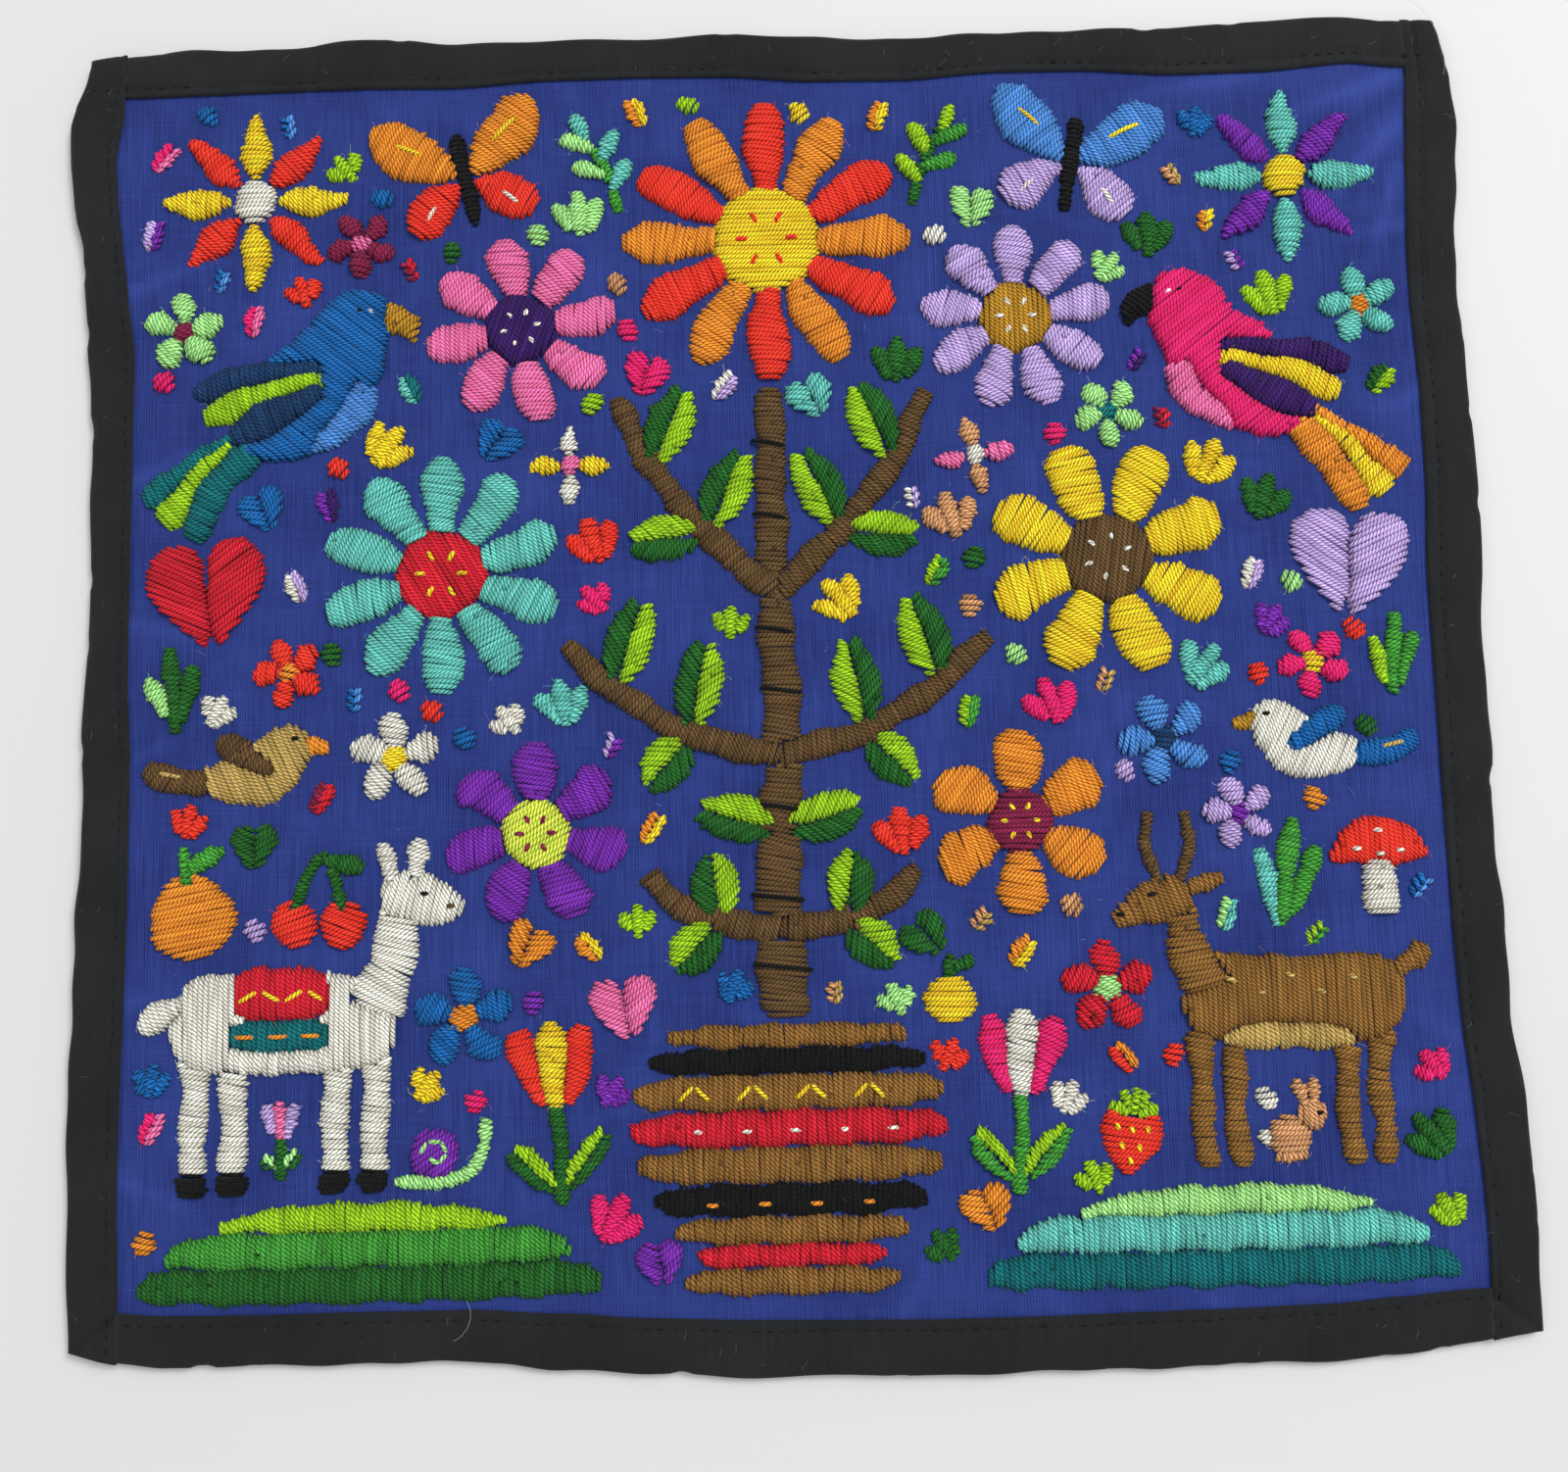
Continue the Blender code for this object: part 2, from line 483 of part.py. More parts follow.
def cloth_object(name, columns, rows, place, material, collection):
    """A grid laid out by a function of its two fractions, with real thickness."""
    bm = bmesh.new()
    bmesh.ops.create_grid(bm, x_segments=columns, y_segments=rows, size=0.5)
    for vert in bm.verts:
        x, y, z = place(vert.co.x + 0.5, vert.co.y + 0.5)
        vert.co = (x * MM, y * MM, (z + lift(x, y)) * MM)
    bmesh.ops.recalc_face_normals(bm, faces=bm.faces)
    mesh = bpy.data.meshes.new(name)
    bm.to_mesh(mesh)
    bm.free()
    mesh.materials.append(material)
    obj = bpy.data.objects.new(name, mesh)
    collection.objects.link(obj)
    thick = obj.modifiers.new("Cloth thickness", "SOLIDIFY")
    thick.thickness = CLOTH * MM
    thick.offset = 0.0
    thick.use_even_offset = True
    return obj


def ground_place(u, v):
    x0, y0 = between(-205, 207, u), between(-190, 196, v)
    left, right = edge(LEFT, y0) + RIM_INSIDE_FOLD, edge(RIGHT, y0) - RIM_INSIDE_FOLD
    low, high = edge(BOTTOM, x0) + RIM_INSIDE_FOLD, edge(TOP, x0) - RIM_INSIDE_FOLD
    return between(left, right, u), between(low, high, v), (GROUND_LOW + GROUND_TOP) / 2


def strip_place(side):
    path = fold_path()

    def place(u, v):
        fraction, depth, z = path[round(v * (len(path) - 1))]
        x, y = strip_point(side, u, fraction, depth)
        return x, y, z

    return place, len(path) - 1


# Embroidered motifs
def outline_of(block, motif):
    """Corner points of a block on the cloth, counter-clockwise, and its narrowest width."""
    kind, points, _ = block
    _, _, mx, my, size, turn, mirror, _ = motif
    scale = size / 100
    c, s = math.cos(math.radians(turn)), math.sin(math.radians(turn))
    if kind == "line":
        left, right, narrow = [], [], []
        for index, (x, y, width) in enumerate(points):
            x0, y0 = points[max(0, index - 1)][:2]
            x1, y1 = points[min(len(points) - 1, index + 1)][:2]
            long = math.hypot(x1 - x0, y1 - y0)
            half = max(width, THINNEST_LINE / scale) / 2
            narrow.append(2 * half * scale)
            left.append((x - (y1 - y0) / long * half, y + (x1 - x0) / long * half))
            right.append((x + (y1 - y0) / long * half, y - (x1 - x0) / long * half))
        points = right + left[::-1]
        thin = min(narrow)
    laid = [(mx + scale * (x * mirror * c - y * s), my + scale * (x * mirror * s + y * c)) for x, y in points]
    around = list(zip(laid, laid[1:] + laid[:1]))
    twice = sum(a[0] * b[1] - a[1] * b[0] for a, b in around)
    if kind == "area":
        thin = abs(twice) / sum(math.dist(a, b) for a, b in around)
    return (laid if twice > 0 else laid[::-1]), thin


def offset(points, out):
    """The outline moved outwards by a distance, or inwards where it is negative."""
    moved = []
    for before, here, after in zip(points[-1:] + points[:-1], points, points[1:] + points[:1]):
        ax, ay = here[0] - before[0], here[1] - before[1]
        bx, by = after[0] - here[0], after[1] - here[1]
        la, lb = math.hypot(ax, ay), math.hypot(bx, by)
        nx, ny = ay / la + by / lb, -ax / la - bx / lb
        reach = max(0.35, (nx * nx + ny * ny) / 2)
        moved.append((here[0] + nx * out / reach, here[1] + ny * out / reach))
    return moved


def block_object(name, points, thin, top, material, collection):
    """A padded block: a foot outline and a smaller top outline, bridged."""
    bm = bmesh.new()
    shoulder = min(PAD_SHOULDER, 0.3 * thin)
    rings = ((offset(points, PAD_OVERLAP), PAD_LOW), (offset(points, -shoulder), top))
    for outline, z in rings:
        ring = bmesh.ops.create_circle(bm, cap_ends=True, segments=len(outline), radius=1)
        for vert, (x, y) in zip(ring["verts"], outline):
            vert.co = (x * MM, y * MM, z * MM)
    bmesh.ops.bridge_loops(bm, edges=bm.edges[:])
    bmesh.ops.recalc_face_normals(bm, faces=bm.faces)
    mesh = bpy.data.meshes.new(name)
    bm.to_mesh(mesh)
    bm.free()
    mesh.materials.append(material)
    obj = bpy.data.objects.new(name, mesh)
    collection.objects.link(obj)
    return obj


def motif_object(motif, materials, collection, cutters):
    """All the blocks of a motif, joined into one solid that rides on the ground cloth."""
    blocks = blocks_of(motif[1], motif[7])
    group = bpy.data.collections.new(motif[0] + "_blocks")
    cutters.children.link(group)
    made = []
    for index, block in enumerate(blocks):
        points, thin = outline_of(block, motif)
        top = PAD_TOP + PAD_STEP * ((3 * index) % 5)
        home = collection if index == 0 else group
        made.append(block_object(motif[0] if index == 0 else f"{motif[0]}_block_{index}", points, thin, top,
                                 materials["yarn_" + block[2]], home))
    base = made[0]
    for obj in made[1:]:
        obj.hide_render = True
        obj.display_type = "WIRE"
    union = base.modifiers.new("Join blocks", "BOOLEAN")
    union.operation = "UNION"
    union.solver = "EXACT"
    union.operand_type = "COLLECTION"
    union.collection = group
    union.material_mode = "TRANSFER"
    bpy.context.view_layer.update()
    joined = bpy.data.meshes.new_from_object(base.evaluated_get(bpy.context.evaluated_depsgraph_get()))
    base.modifiers.remove(union)
    bm = bmesh.new()
    bm.from_mesh(joined)
    for face in bm.faces:
        if face.normal.z < -0.5:
            face.material_index = 0
    bmesh.ops.dissolve_limit(bm, angle_limit=0.01, verts=bm.verts, edges=bm.edges, delimit={"MATERIAL"})
    for vert in bm.verts:
        vert.co.z += lift(vert.co.x / MM, vert.co.y / MM) * MM
    bm.to_mesh(joined)
    bm.free()
    base.data = joined
    return base


def linear(channel):
    value = channel / 255
    return value / 12.92 if value <= 0.04045 else ((value + 0.055) / 1.055) ** 2.4


def make_material(name, colour, roughness):
    material = bpy.data.materials.new(name)
    material.use_nodes = True
    shader = material.node_tree.nodes["Principled BSDF"]
    shader.inputs["Base Color"].default_value = (*[linear(c) for c in colour], 1.0)
    shader.inputs["Roughness"].default_value = roughness
    shader.inputs["Metallic"].default_value = 0.0
    material.diffuse_color = (*[linear(c) for c in colour], 1.0)
    return material


def main():
    for obj in list(bpy.data.objects):
        bpy.data.objects.remove(obj, do_unlink=True)
    collection = bpy.data.collections.new("arpillera_textile")
    cutters = bpy.data.collections.new("block_cutters")
    bpy.context.scene.collection.children.link(collection)
    bpy.context.scene.collection.children.link(cutters)
    cutters.hide_render = True
    materials = {name: make_material(name, colour, 0.85) for name, colour in COTTON.items()}
    for name, colour in YARN.items():
        materials["yarn_" + name] = make_material("yarn_" + name, colour, 0.8)
    blue = materials["cotton_blue"]
    cloth_object("ground_cloth", GROUND_CELLS, GROUND_CELLS, ground_place, blue, collection)
    for side in ("top", "bottom", "left", "right"):
        place, rows = strip_place(side)
        cloth_object("binding_" + side, STRIP_STATIONS, rows, place, materials["cotton_black"], collection)
    for motif in MOTIFS:
        motif_object(motif, materials, collection, cutters)


main()
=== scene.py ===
# %% [markdown]
# An arpillera is a small embroidered picture on cotton. Ours lies flat on a pale table: a royal blue
# ground, plump satin stitch in wool all over it, and a folded black strip sewn round the four edges.
# The solids of the part are loaded first. They fix every place and size, and the looks are built on them.

import math

import bpy
import numpy as np
from mathutils import Matrix, Vector


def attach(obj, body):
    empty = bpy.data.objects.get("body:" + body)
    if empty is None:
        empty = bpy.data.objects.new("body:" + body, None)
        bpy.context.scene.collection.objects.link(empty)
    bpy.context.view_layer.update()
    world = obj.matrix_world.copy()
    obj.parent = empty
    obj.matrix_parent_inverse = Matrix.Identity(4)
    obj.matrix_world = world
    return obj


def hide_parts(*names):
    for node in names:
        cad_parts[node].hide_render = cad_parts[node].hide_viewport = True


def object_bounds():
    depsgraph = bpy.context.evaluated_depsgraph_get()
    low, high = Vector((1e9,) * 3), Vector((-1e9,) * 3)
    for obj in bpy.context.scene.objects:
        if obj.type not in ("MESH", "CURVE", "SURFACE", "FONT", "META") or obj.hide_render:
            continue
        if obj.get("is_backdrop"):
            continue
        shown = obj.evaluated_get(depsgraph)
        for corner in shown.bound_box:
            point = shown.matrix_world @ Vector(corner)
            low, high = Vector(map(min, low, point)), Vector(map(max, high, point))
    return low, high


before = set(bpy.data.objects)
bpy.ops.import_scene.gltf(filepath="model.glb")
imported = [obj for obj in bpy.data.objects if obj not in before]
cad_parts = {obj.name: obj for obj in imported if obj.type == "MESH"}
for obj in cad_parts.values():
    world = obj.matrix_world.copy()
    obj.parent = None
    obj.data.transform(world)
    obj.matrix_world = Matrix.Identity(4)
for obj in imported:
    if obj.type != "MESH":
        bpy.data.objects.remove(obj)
cad_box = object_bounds()
MM = 0.001
rng = np.random.default_rng(1973)
print("solids", len(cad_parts), "box in mm", [[round(c / MM, 1) for c in corner] for corner in cad_box])

# %% [markdown]
# The camera comes early, so that every later step can be judged in the picture. The photograph was taken
# by hand from nearly straight above: the view leans a little towards the bottom edge, and the cloth looks
# turned by a degree and a half. Three vectors that stand square to one another hold that lean and turn.

# %% Camera
LEAN = math.radians(6.3)
ROLL = math.radians(1.5)
DISTANCE = 473 * MM
LOOK_AT = Vector((1.45, -18.15, 0)) * MM
FOCAL = 37.1

back = Vector((0, -math.sin(LEAN), math.cos(LEAN)))
side = Vector((1, 0, 0))
upward = back.cross(side)
right = math.cos(ROLL) * side - math.sin(ROLL) * upward
top = math.sin(ROLL) * side + math.cos(ROLL) * upward
lens = bpy.data.cameras.new("camera")
lens.lens = FOCAL
lens.sensor_width = 36
lens.clip_start = 0.01
camera = bpy.data.objects.new("camera", lens)
bpy.context.scene.collection.objects.link(camera)
turn = Matrix((right, top, back)).transposed().to_4x4()
camera.matrix_world = Matrix.Translation(LOOK_AT + DISTANCE * back) @ turn
bpy.context.scene.camera = camera
print("camera stands", [round(c / MM) for c in camera.matrix_world.translation], "mm from the cloth's middle")

# %% [markdown]
# A white table and a big soft lamp give the gentle light of a room by a window. The lamp stands to the
# upper right, so the left and lower edges of the cloth throw a faint shadow. A larger lamp makes a softer
# shadow, and the even world light keeps the black binding from going flat.

# %% Table and light
LAMPS = (
    # name, place in metres, size in metres, watts, colour
    ("window", (1.3, 1.1, 2.3), 1.2, 80.0, (1.0, 0.985, 0.96)),
    ("room", (-0.9, -0.3, 1.5), 1.4, 5.0, (0.94, 0.97, 1.0)),
)

# the width and the level are in metres
TABLE_WIDE = 6
TABLE_LEVEL = -0.0006
TABLE_PAINT = (0.485, 0.49, 0.49, 1)
ROOM_LIGHT = (0.97, 0.985, 1.0, 1)
ROOM_STRENGTH = 0.80

bpy.ops.mesh.primitive_plane_add(size=TABLE_WIDE, location=(0, 0, TABLE_LEVEL))
table = bpy.context.object
table.name = "table_top"
table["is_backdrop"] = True
paint = bpy.data.materials.new("table_white")
paint.use_nodes = True
surface = paint.node_tree.nodes["Principled BSDF"].inputs
surface["Base Color"].default_value = TABLE_PAINT
surface["Roughness"].default_value = 0.7
table.data.materials.append(paint)

for name, place, size, watts, colour in LAMPS:
    light = bpy.data.lights.new(name, "AREA")
    light.shape = "SQUARE"
    light.size = size
    light.energy = watts
    light.color = colour
    lamp = bpy.data.objects.new(name, light)
    lamp.location = place
    lamp.rotation_euler = (Vector((0, 0, 0)) - Vector(place)).to_track_quat("-Z", "Y").to_euler()
    bpy.context.scene.collection.objects.link(lamp)

world = bpy.data.worlds.new("soft_room")
world.use_nodes = True
background = world.node_tree.nodes["Background"].inputs
background["Color"].default_value = ROOM_LIGHT
background["Strength"].default_value = ROOM_STRENGTH
bpy.context.scene.world = world
bpy.context.scene.view_settings.view_transform = "Standard"
print("lamps", [row[0] for row in LAMPS])

# %% [markdown]
# The four edges of a hand-sewn cloth are never straight. Each side is a short table of places along it,
# with the outer edge and the inner edge of the binding there, as read from the photograph in millimetres.
# Easing between the rows gives a smooth edge, and a quick and a slow sine wave add the small dips that the
# sewing draws into it. SIDES pairs each table with 1 or -1, the way in from that side.

# %% Outline of the cloth
TOP = (
    # along, outer edge, inner edge
    (-205, 194.0, 182.9), (-190, 195.8, 181.7), (-174, 197.0, 182.1), (-147, 196.9, 182.6),
    (-120, 199.0, 182.8), (-93, 197.2, 182.4), (-66, 197.2, 184.2), (-39, 197.4, 184.4),
    (-12, 197.9, 184.0), (15, 196.6, 181.8), (43, 194.9, 181.4), (70, 196.4, 183.2),
    (97, 196.4, 183.0), (124, 196.4, 181.0), (151, 197.9, 181.2), (178, 198.1, 183.2),
    (192, 197.1, 181.5), (206, 195.4, 180.4),
)
BOTTOM = (
    (-204, -186.6, -176.2), (-190, -189.9, -176.3), (-177, -191.8, -177.4), (-150, -191.9, -177.8),
    (-120, -191.8, -177.6), (-90, -192.2, -177.8), (-66, -194.7, -179.4), (-40, -196.9, -181.4),
    (-12, -198.2, -182.6), (15, -198.6, -183.2), (43, -198.9, -183.6), (70, -198.8, -183.5),
    (97, -198.5, -183.1), (124, -198.3, -182.8), (151, -198.0, -182.2), (170, -196.5, -180.8),
    (190, -194.4, -179.2), (209, -190.8, -178.8),
)
LEFT = (
    (-187, -203.5, -189.5), (-170, -204.3, -189.6), (-145, -205.1, -190.4), (-120, -205.1, -190.2),
    (-95, -204.6, -189.5), (-70, -203.9, -188.9), (-45, -202.7, -188.8), (-20, -203.2, -188.8),
    (0, -202.9, -189.9), (25, -201.8, -189.9), (50, -202.0, -189.9), (75, -202.4, -189.8),
    (100, -203.6, -189.6), (120, -205.0, -192.0), (134, -206.3, -193.6), (148, -208.7, -195.2),
    (162, -210.1, -196.1), (176, -210.1, -194.0), (190, -206.0, -193.2), (194, -205.2, -193.2),
)
RIGHT = (
    (-191, 208.9, 195.0), (-177, 209.6, 195.4), (-163, 210.2, 195.8), (-150, 210.0, 195.6),
    (-127, 209.1, 194.4), (-102, 207.1, 192.6), (-77, 207.0, 191.9), (-52, 206.0, 191.7),
    (-26, 207.0, 191.7), (0, 206.7, 191.7), (26, 208.1, 191.7), (53, 209.1, 193.2),
    (80, 208.2, 193.4), (107, 206.9, 192.3), (121, 207.3, 192.4), (149, 209.0, 193.6),
    (163, 210.0, 194.4), (177, 209.5, 195.4), (190, 206.8, 195.0), (195, 205.6, 195.0),
)
SIDES = {"top": (TOP, -1), "bottom": (BOTTOM, 1), "left": (LEFT, 1), "right": (RIGHT, -1)}
UPRIGHT = ("left", "right")
RIPPLES = (
    # x, y, radius, height of each place that stands off the table
    (-208, 162, 62, 0.6), (208, 174, 60, 0.5), (212, -140, 64, 0.5),
    (60, -202, 70, 0.5), (-118, 202, 62, 0.5), (-206, -60, 64, 0.4),
)


def along(table, column, where):
    """A column of a side's table at places along it, eased between its rows."""
    rows = np.array(table, float)
    where = np.clip(where, rows[0, 0], rows[-1, 0])
    step = np.clip(np.searchsorted(rows[:, 0], where) - 1, 0, len(rows) - 2)
    t = (where - rows[step, 0]) / (rows[step + 1, 0] - rows[step, 0])
    t = 0.5 * t + 0.5 * t * t * (3 - 2 * t)
    return rows[step, column] + (rows[step + 1, column] - rows[step, column]) * t


def edge(table, where):
    """Outer edge with the small uneven waves that the seam draws into it."""
    start = table[4][1]
    short = 0.22 * np.sin(where / 4.3 + 2.2 * np.sin(where / 31 + start))
    long = 0.25 * np.sin(where / 9.1 + 2 * start)
    return along(table, 1, where) + short + long


def inner(table, where):
    """Inner edge of the binding."""
    return along(table, 2, where)


def lift(x, y):
    """How far the cloth stands off the table."""
    height = np.zeros_like(x)
    for cx, cy, radius, tall in RIPPLES:
        near = np.clip(1 - ((x - cx) ** 2 + (y - cy) ** 2) / radius**2, 0, 1)
        height += tall * near**2
    return height


def between(a, b, t):
    """The number a fraction t of the way from a to b."""
    return a + (b - a) * t


width_mid = float(edge(RIGHT, np.array(0.0)) - edge(LEFT, np.array(0.0)))
print("width across the middle in mm", round(width_mid, 1))

# %% [markdown]
# Cloth puckers where it is sewn. A sum of slow and quick waves, each in a direction of its own, gives an
# uneven surface that never repeats. The few creases that show in the photograph are listed as soft
# ridges, each a line with a width and a height, because a random crease never sits in the right place.

# %% Puckers and creases
CREASES = (
    # from x, y, to x, y, half width, height
    (192, 179, 160, 167, 2.6, 1.4), (192, 173, 168, 157, 2.4, -0.9), (192, 164, 170, 140, 2.6, 1.3),
    (192, 150, 179, 116, 2.4, 1.0), (150, 181, 112, 174, 2.4, 1.0), (193, 132, 174, 128, 2.2, 1.0),
    (-191, 62, -173, 70, 2.2, 1.0), (-191, 20, -168, 14, 2.2, 0.9), (-191, -92, -170, -86, 2.2, 0.9),
    (-193, 120, -167, 130, 2.3, 1.1), (-191, -22, -175, -15, 2.0, 0.8), (-191, -140, -171, -148, 2.2, 0.9),
    (30, -184, 40, -165, 2.2, 0.8), (-60, 184, -54, 169, 2.2, 0.8), (120, -184, 110, -171, 2.2, 0.8),
    (195, 80, 180, 73, 2.2, 0.9), (193, -110, 178, -103, 2.2, 0.8), (-120, 183, -112, 171, 2.2, 0.8),
)
BINDING_CREASES = (
    # the fold of the lower right corner, the mitre of the lower left one, then pulls in the leaf
    (195.4, -180.6, 208.8, -190.2, 1.1, -0.9), (194.8, -183.2, 206, -193, 1.0, 0.6),
    (-190.4, -177.6, -203, -186.4, 1.0, -0.6), (-192, -175.4, -204, -183.6, 1.0, 0.35),
    (-204, 150, -196, 141, 1.0, 0.4), (-203, 96, -193, 92, 0.9, 0.35), (-200, -12, -191, -3, 1.0, 0.35),
    (204, 140, 196, 134, 0.9, 0.4), (206, 60, 196, 66, 1.0, 0.35), (205, -92, 195, -84, 0.9, 0.35),
    (-140, 195, -133, 186, 0.9, 0.35), (-20, 194, -12, 186, 1.0, 0.35), (90, 194, 98, 185, 0.9, 0.35),
    (-80, -190, -73, -181, 0.9, 0.35), (20, -195, 12, -186, 1.0, 0.35), (120, -195, 128, -185, 0.9, 0.35),
)


def waves(x, y, shortest, longest, count, seed):
    """Sum of sine waves of random direction, about 1 high."""
    pick = np.random.default_rng(seed)
    total = np.zeros_like(x)
    for _ in range(count):
        angle = pick.uniform(0, math.pi)
        length = pick.uniform(shortest, longest)
        run = x * math.cos(angle) + y * math.sin(angle)
        total += np.sin(run * 2 * math.pi / length + pick.uniform(0, 6.3))
    return total / math.sqrt(count)


def creases(x, y, rows):
    """Summed height of a table of creases, each of which fades by 0.6 towards its far end."""
    height = np.zeros_like(x)
    for ax, ay, bx, by, half, tall in rows:
        dx, dy = bx - ax, by - ay
        t = np.clip(((x - ax) * dx + (y - ay) * dy) / (dx * dx + dy * dy), 0, 1)
        away = np.hypot(x - ax - dx * t, y - ay - dy * t)
        height += tall * np.exp(-((away / half) ** 2)) * (1 - 0.6 * t)
    return height


print("creases", len(CREASES) + len(BINDING_CREASES))

# %% [markdown]
# Each piece of cotton is a grid of points, laid out by a function of two fractions that run along and
# across it. The grid is a single surface, and a Solidify modifier gives it the thickness of cloth. Making
# the faces with numpy keeps a fine grid quick.

# %% Grid of cloth
def new_object(name, mesh):
    """An object that lies on the cloth and moves with it."""
    obj = bpy.data.objects.new(name, mesh)
    bpy.context.scene.collection.objects.link(obj)
    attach(obj, "root")
    return obj


def mesh_from(name, points, quads):
    """A smooth-shaded mesh of quads from numpy arrays."""
    mesh = bpy.data.meshes.new(name)
    mesh.vertices.add(len(points))
    mesh.vertices.foreach_set("co", (points * MM).astype(np.float32).ravel())
    mesh.loops.add(quads.size)
    mesh.loops.foreach_set("vertex_index", quads.astype(np.int32).ravel())
    mesh.polygons.add(len(quads))
    mesh.polygons.foreach_set("loop_start", np.arange(0, quads.size, 4, dtype=np.int32))
    mesh.polygons.foreach_set("use_smooth", np.ones(len(quads), bool))
    mesh.update(calc_edges=True)
    return mesh


def grid_quads(columns, rows):
    """Corner numbers of a grid's quads, points numbered row by row."""
    first = (np.arange(rows - 1)[:, None] * columns + np.arange(columns - 1)[None, :]).ravel()
    return np.stack([first, first + 1, first + columns + 1, first + columns], axis=1)


def cloth(name, columns, rows, place, thickness, material, folds):
    """A sheet over a grid. The height of its folds is kept as a number, from which the material paints light
    and shade.
    """
    u, v = np.meshgrid(np.linspace(0, 1, columns), np.linspace(0, 1, rows))
    x, y, z = place(u.ravel(), v.ravel())
    mesh = mesh_from(name, np.stack([x, y, z + lift(x, y)], axis=1), grid_quads(columns, rows))
    weave = mesh.uv_layers.new(name="weave")
    laid = np.stack([x, y], axis=1)[np.array([loop.vertex_index for loop in mesh.loops])]
    weave.data.foreach_set("uv", laid.astype(np.float32).ravel())
    ridge = mesh.attributes.new("fold", "FLOAT", "POINT")
    ridge.data.foreach_set("value", creases(x, y, folds).astype(np.float32))
    mesh.materials.append(material)
    obj = new_object(name, mesh)
    thick = obj.modifiers.new("Cloth thickness", "SOLIDIFY")
    thick.thickness = thickness * MM
    thick.offset = 0
    return obj


print("grid helpers ready")

# %% [markdown]
# A node material is a small machine that turns a place on the cloth into a colour, a roughness and a bump.
# The helpers below add a node and wire its inputs in one line, so that a weave reads as a formula. A number
# is set on a socket, and a socket from another node is linked to it.

# %% Node helpers
def linear(colour):
    """sRGB from 0 to 255 as the linear colour that shaders use."""
    parts = [c / 255 for c in colour]
    return tuple(c / 12.92 if c <= 0.04045 else ((c + 0.055) / 1.055) ** 2.4 for c in parts) + (1.0,)


class Nodes:
    """A material's node tree, with one method for each kind of node used here."""

    def __init__(self, name):
        self.material = bpy.data.materials.new(name)
        self.material.use_nodes = True
        self.tree = self.material.node_tree
        self.shader = self.tree.nodes["Principled BSDF"]

    def wire(self, socket, value):
        if isinstance(value, bpy.types.NodeSocket):
            self.tree.links.new(value, socket)
        else:
            socket.default_value = value

    def math(self, kind, a, b=0.0, c=0.0):
        node = self.tree.nodes.new("ShaderNodeMath")
        node.operation = kind
        for socket, value in zip(node.inputs, (a, b, c)):
            self.wire(socket, value)
        return node.outputs[0]

    def noise(self, where, scale, detail=3.0, rough=0.5):
        node = self.tree.nodes.new("ShaderNodeTexNoise")
        self.wire(node.inputs["Vector"], where)
        node.inputs["Scale"].default_value = scale
        node.inputs["Detail"].default_value = detail
        node.inputs["Roughness"].default_value = rough
        return node.outputs["Fac"]

    def uv(self, name):
        node = self.tree.nodes.new("ShaderNodeUVMap")
        node.uv_map = name
        return node.outputs[0]

    def attribute(self, name):
        node = self.tree.nodes.new("ShaderNodeAttribute")
        node.attribute_name = name
        return node.outputs["Fac"]

    def split(self, vector):
        node = self.tree.nodes.new("ShaderNodeSeparateXYZ")
        self.wire(node.inputs[0], vector)
        return node.outputs[0], node.outputs[1], node.outputs[2]

    def join(self, x, y, z=0.0):
        node = self.tree.nodes.new("ShaderNodeCombineXYZ")
        for socket, value in zip(node.inputs, (x, y, z)):
            self.wire(socket, value)
        return node.outputs[0]

    def mix(self, amount, a, b):
        node = self.tree.nodes.new("ShaderNodeMix")
        node.data_type = "RGBA"
        self.wire(node.inputs[0], amount)
        self.wire(node.inputs[6], a)
        self.wire(node.inputs[7], b)
        return node.outputs[2]

    def ramp(self, value, low, high):
        """0 below low, 1 above high."""
        node = self.tree.nodes.new("ShaderNodeMapRange")
        self.wire(node.inputs["Value"], value)
        node.inputs["From Min"].default_value = low
        node.inputs["From Max"].default_value = high
        return node.outputs[0]

    def bump(self, height, strength, distance):
        node = self.tree.nodes.new("ShaderNodeBump")
        self.wire(node.inputs["Height"], height)
        node.inputs["Strength"].default_value = strength
        node.inputs["Distance"].default_value = distance
        return node.outputs[0]

    def finish(self, colour, roughness, normal, sheen):
        self.wire(self.shader.inputs["Base Color"], colour)
        self.wire(self.shader.inputs["Roughness"], roughness)
        self.wire(self.shader.inputs["Normal"], normal)
        self.shader.inputs["Sheen Weight"].default_value = sheen
        self.shader.inputs["Sheen Roughness"].default_value = 0.4
        self.shader.inputs["Specular IOR Level"].default_value = 0.12
        return self.material


print("node helpers ready")

# %% [markdown]
# Both cottons are plain weaves. Threads across and along are two rows of sine humps, and where one passes
# over, the other is under, which their product gives. Uneven thread is noise stretched a long way in one
# direction. Pale specks of lint are the high peaks of a fine noise, and they matter on black cloth. The
# height of the folds also goes into the colour as painted light and shade: paler on a crease's ridge, darker
# in a trough.

# %% Cotton materials
PAINTED_RIDGE_LIGHT = 0.45
SPECK = (140, 145, 155)


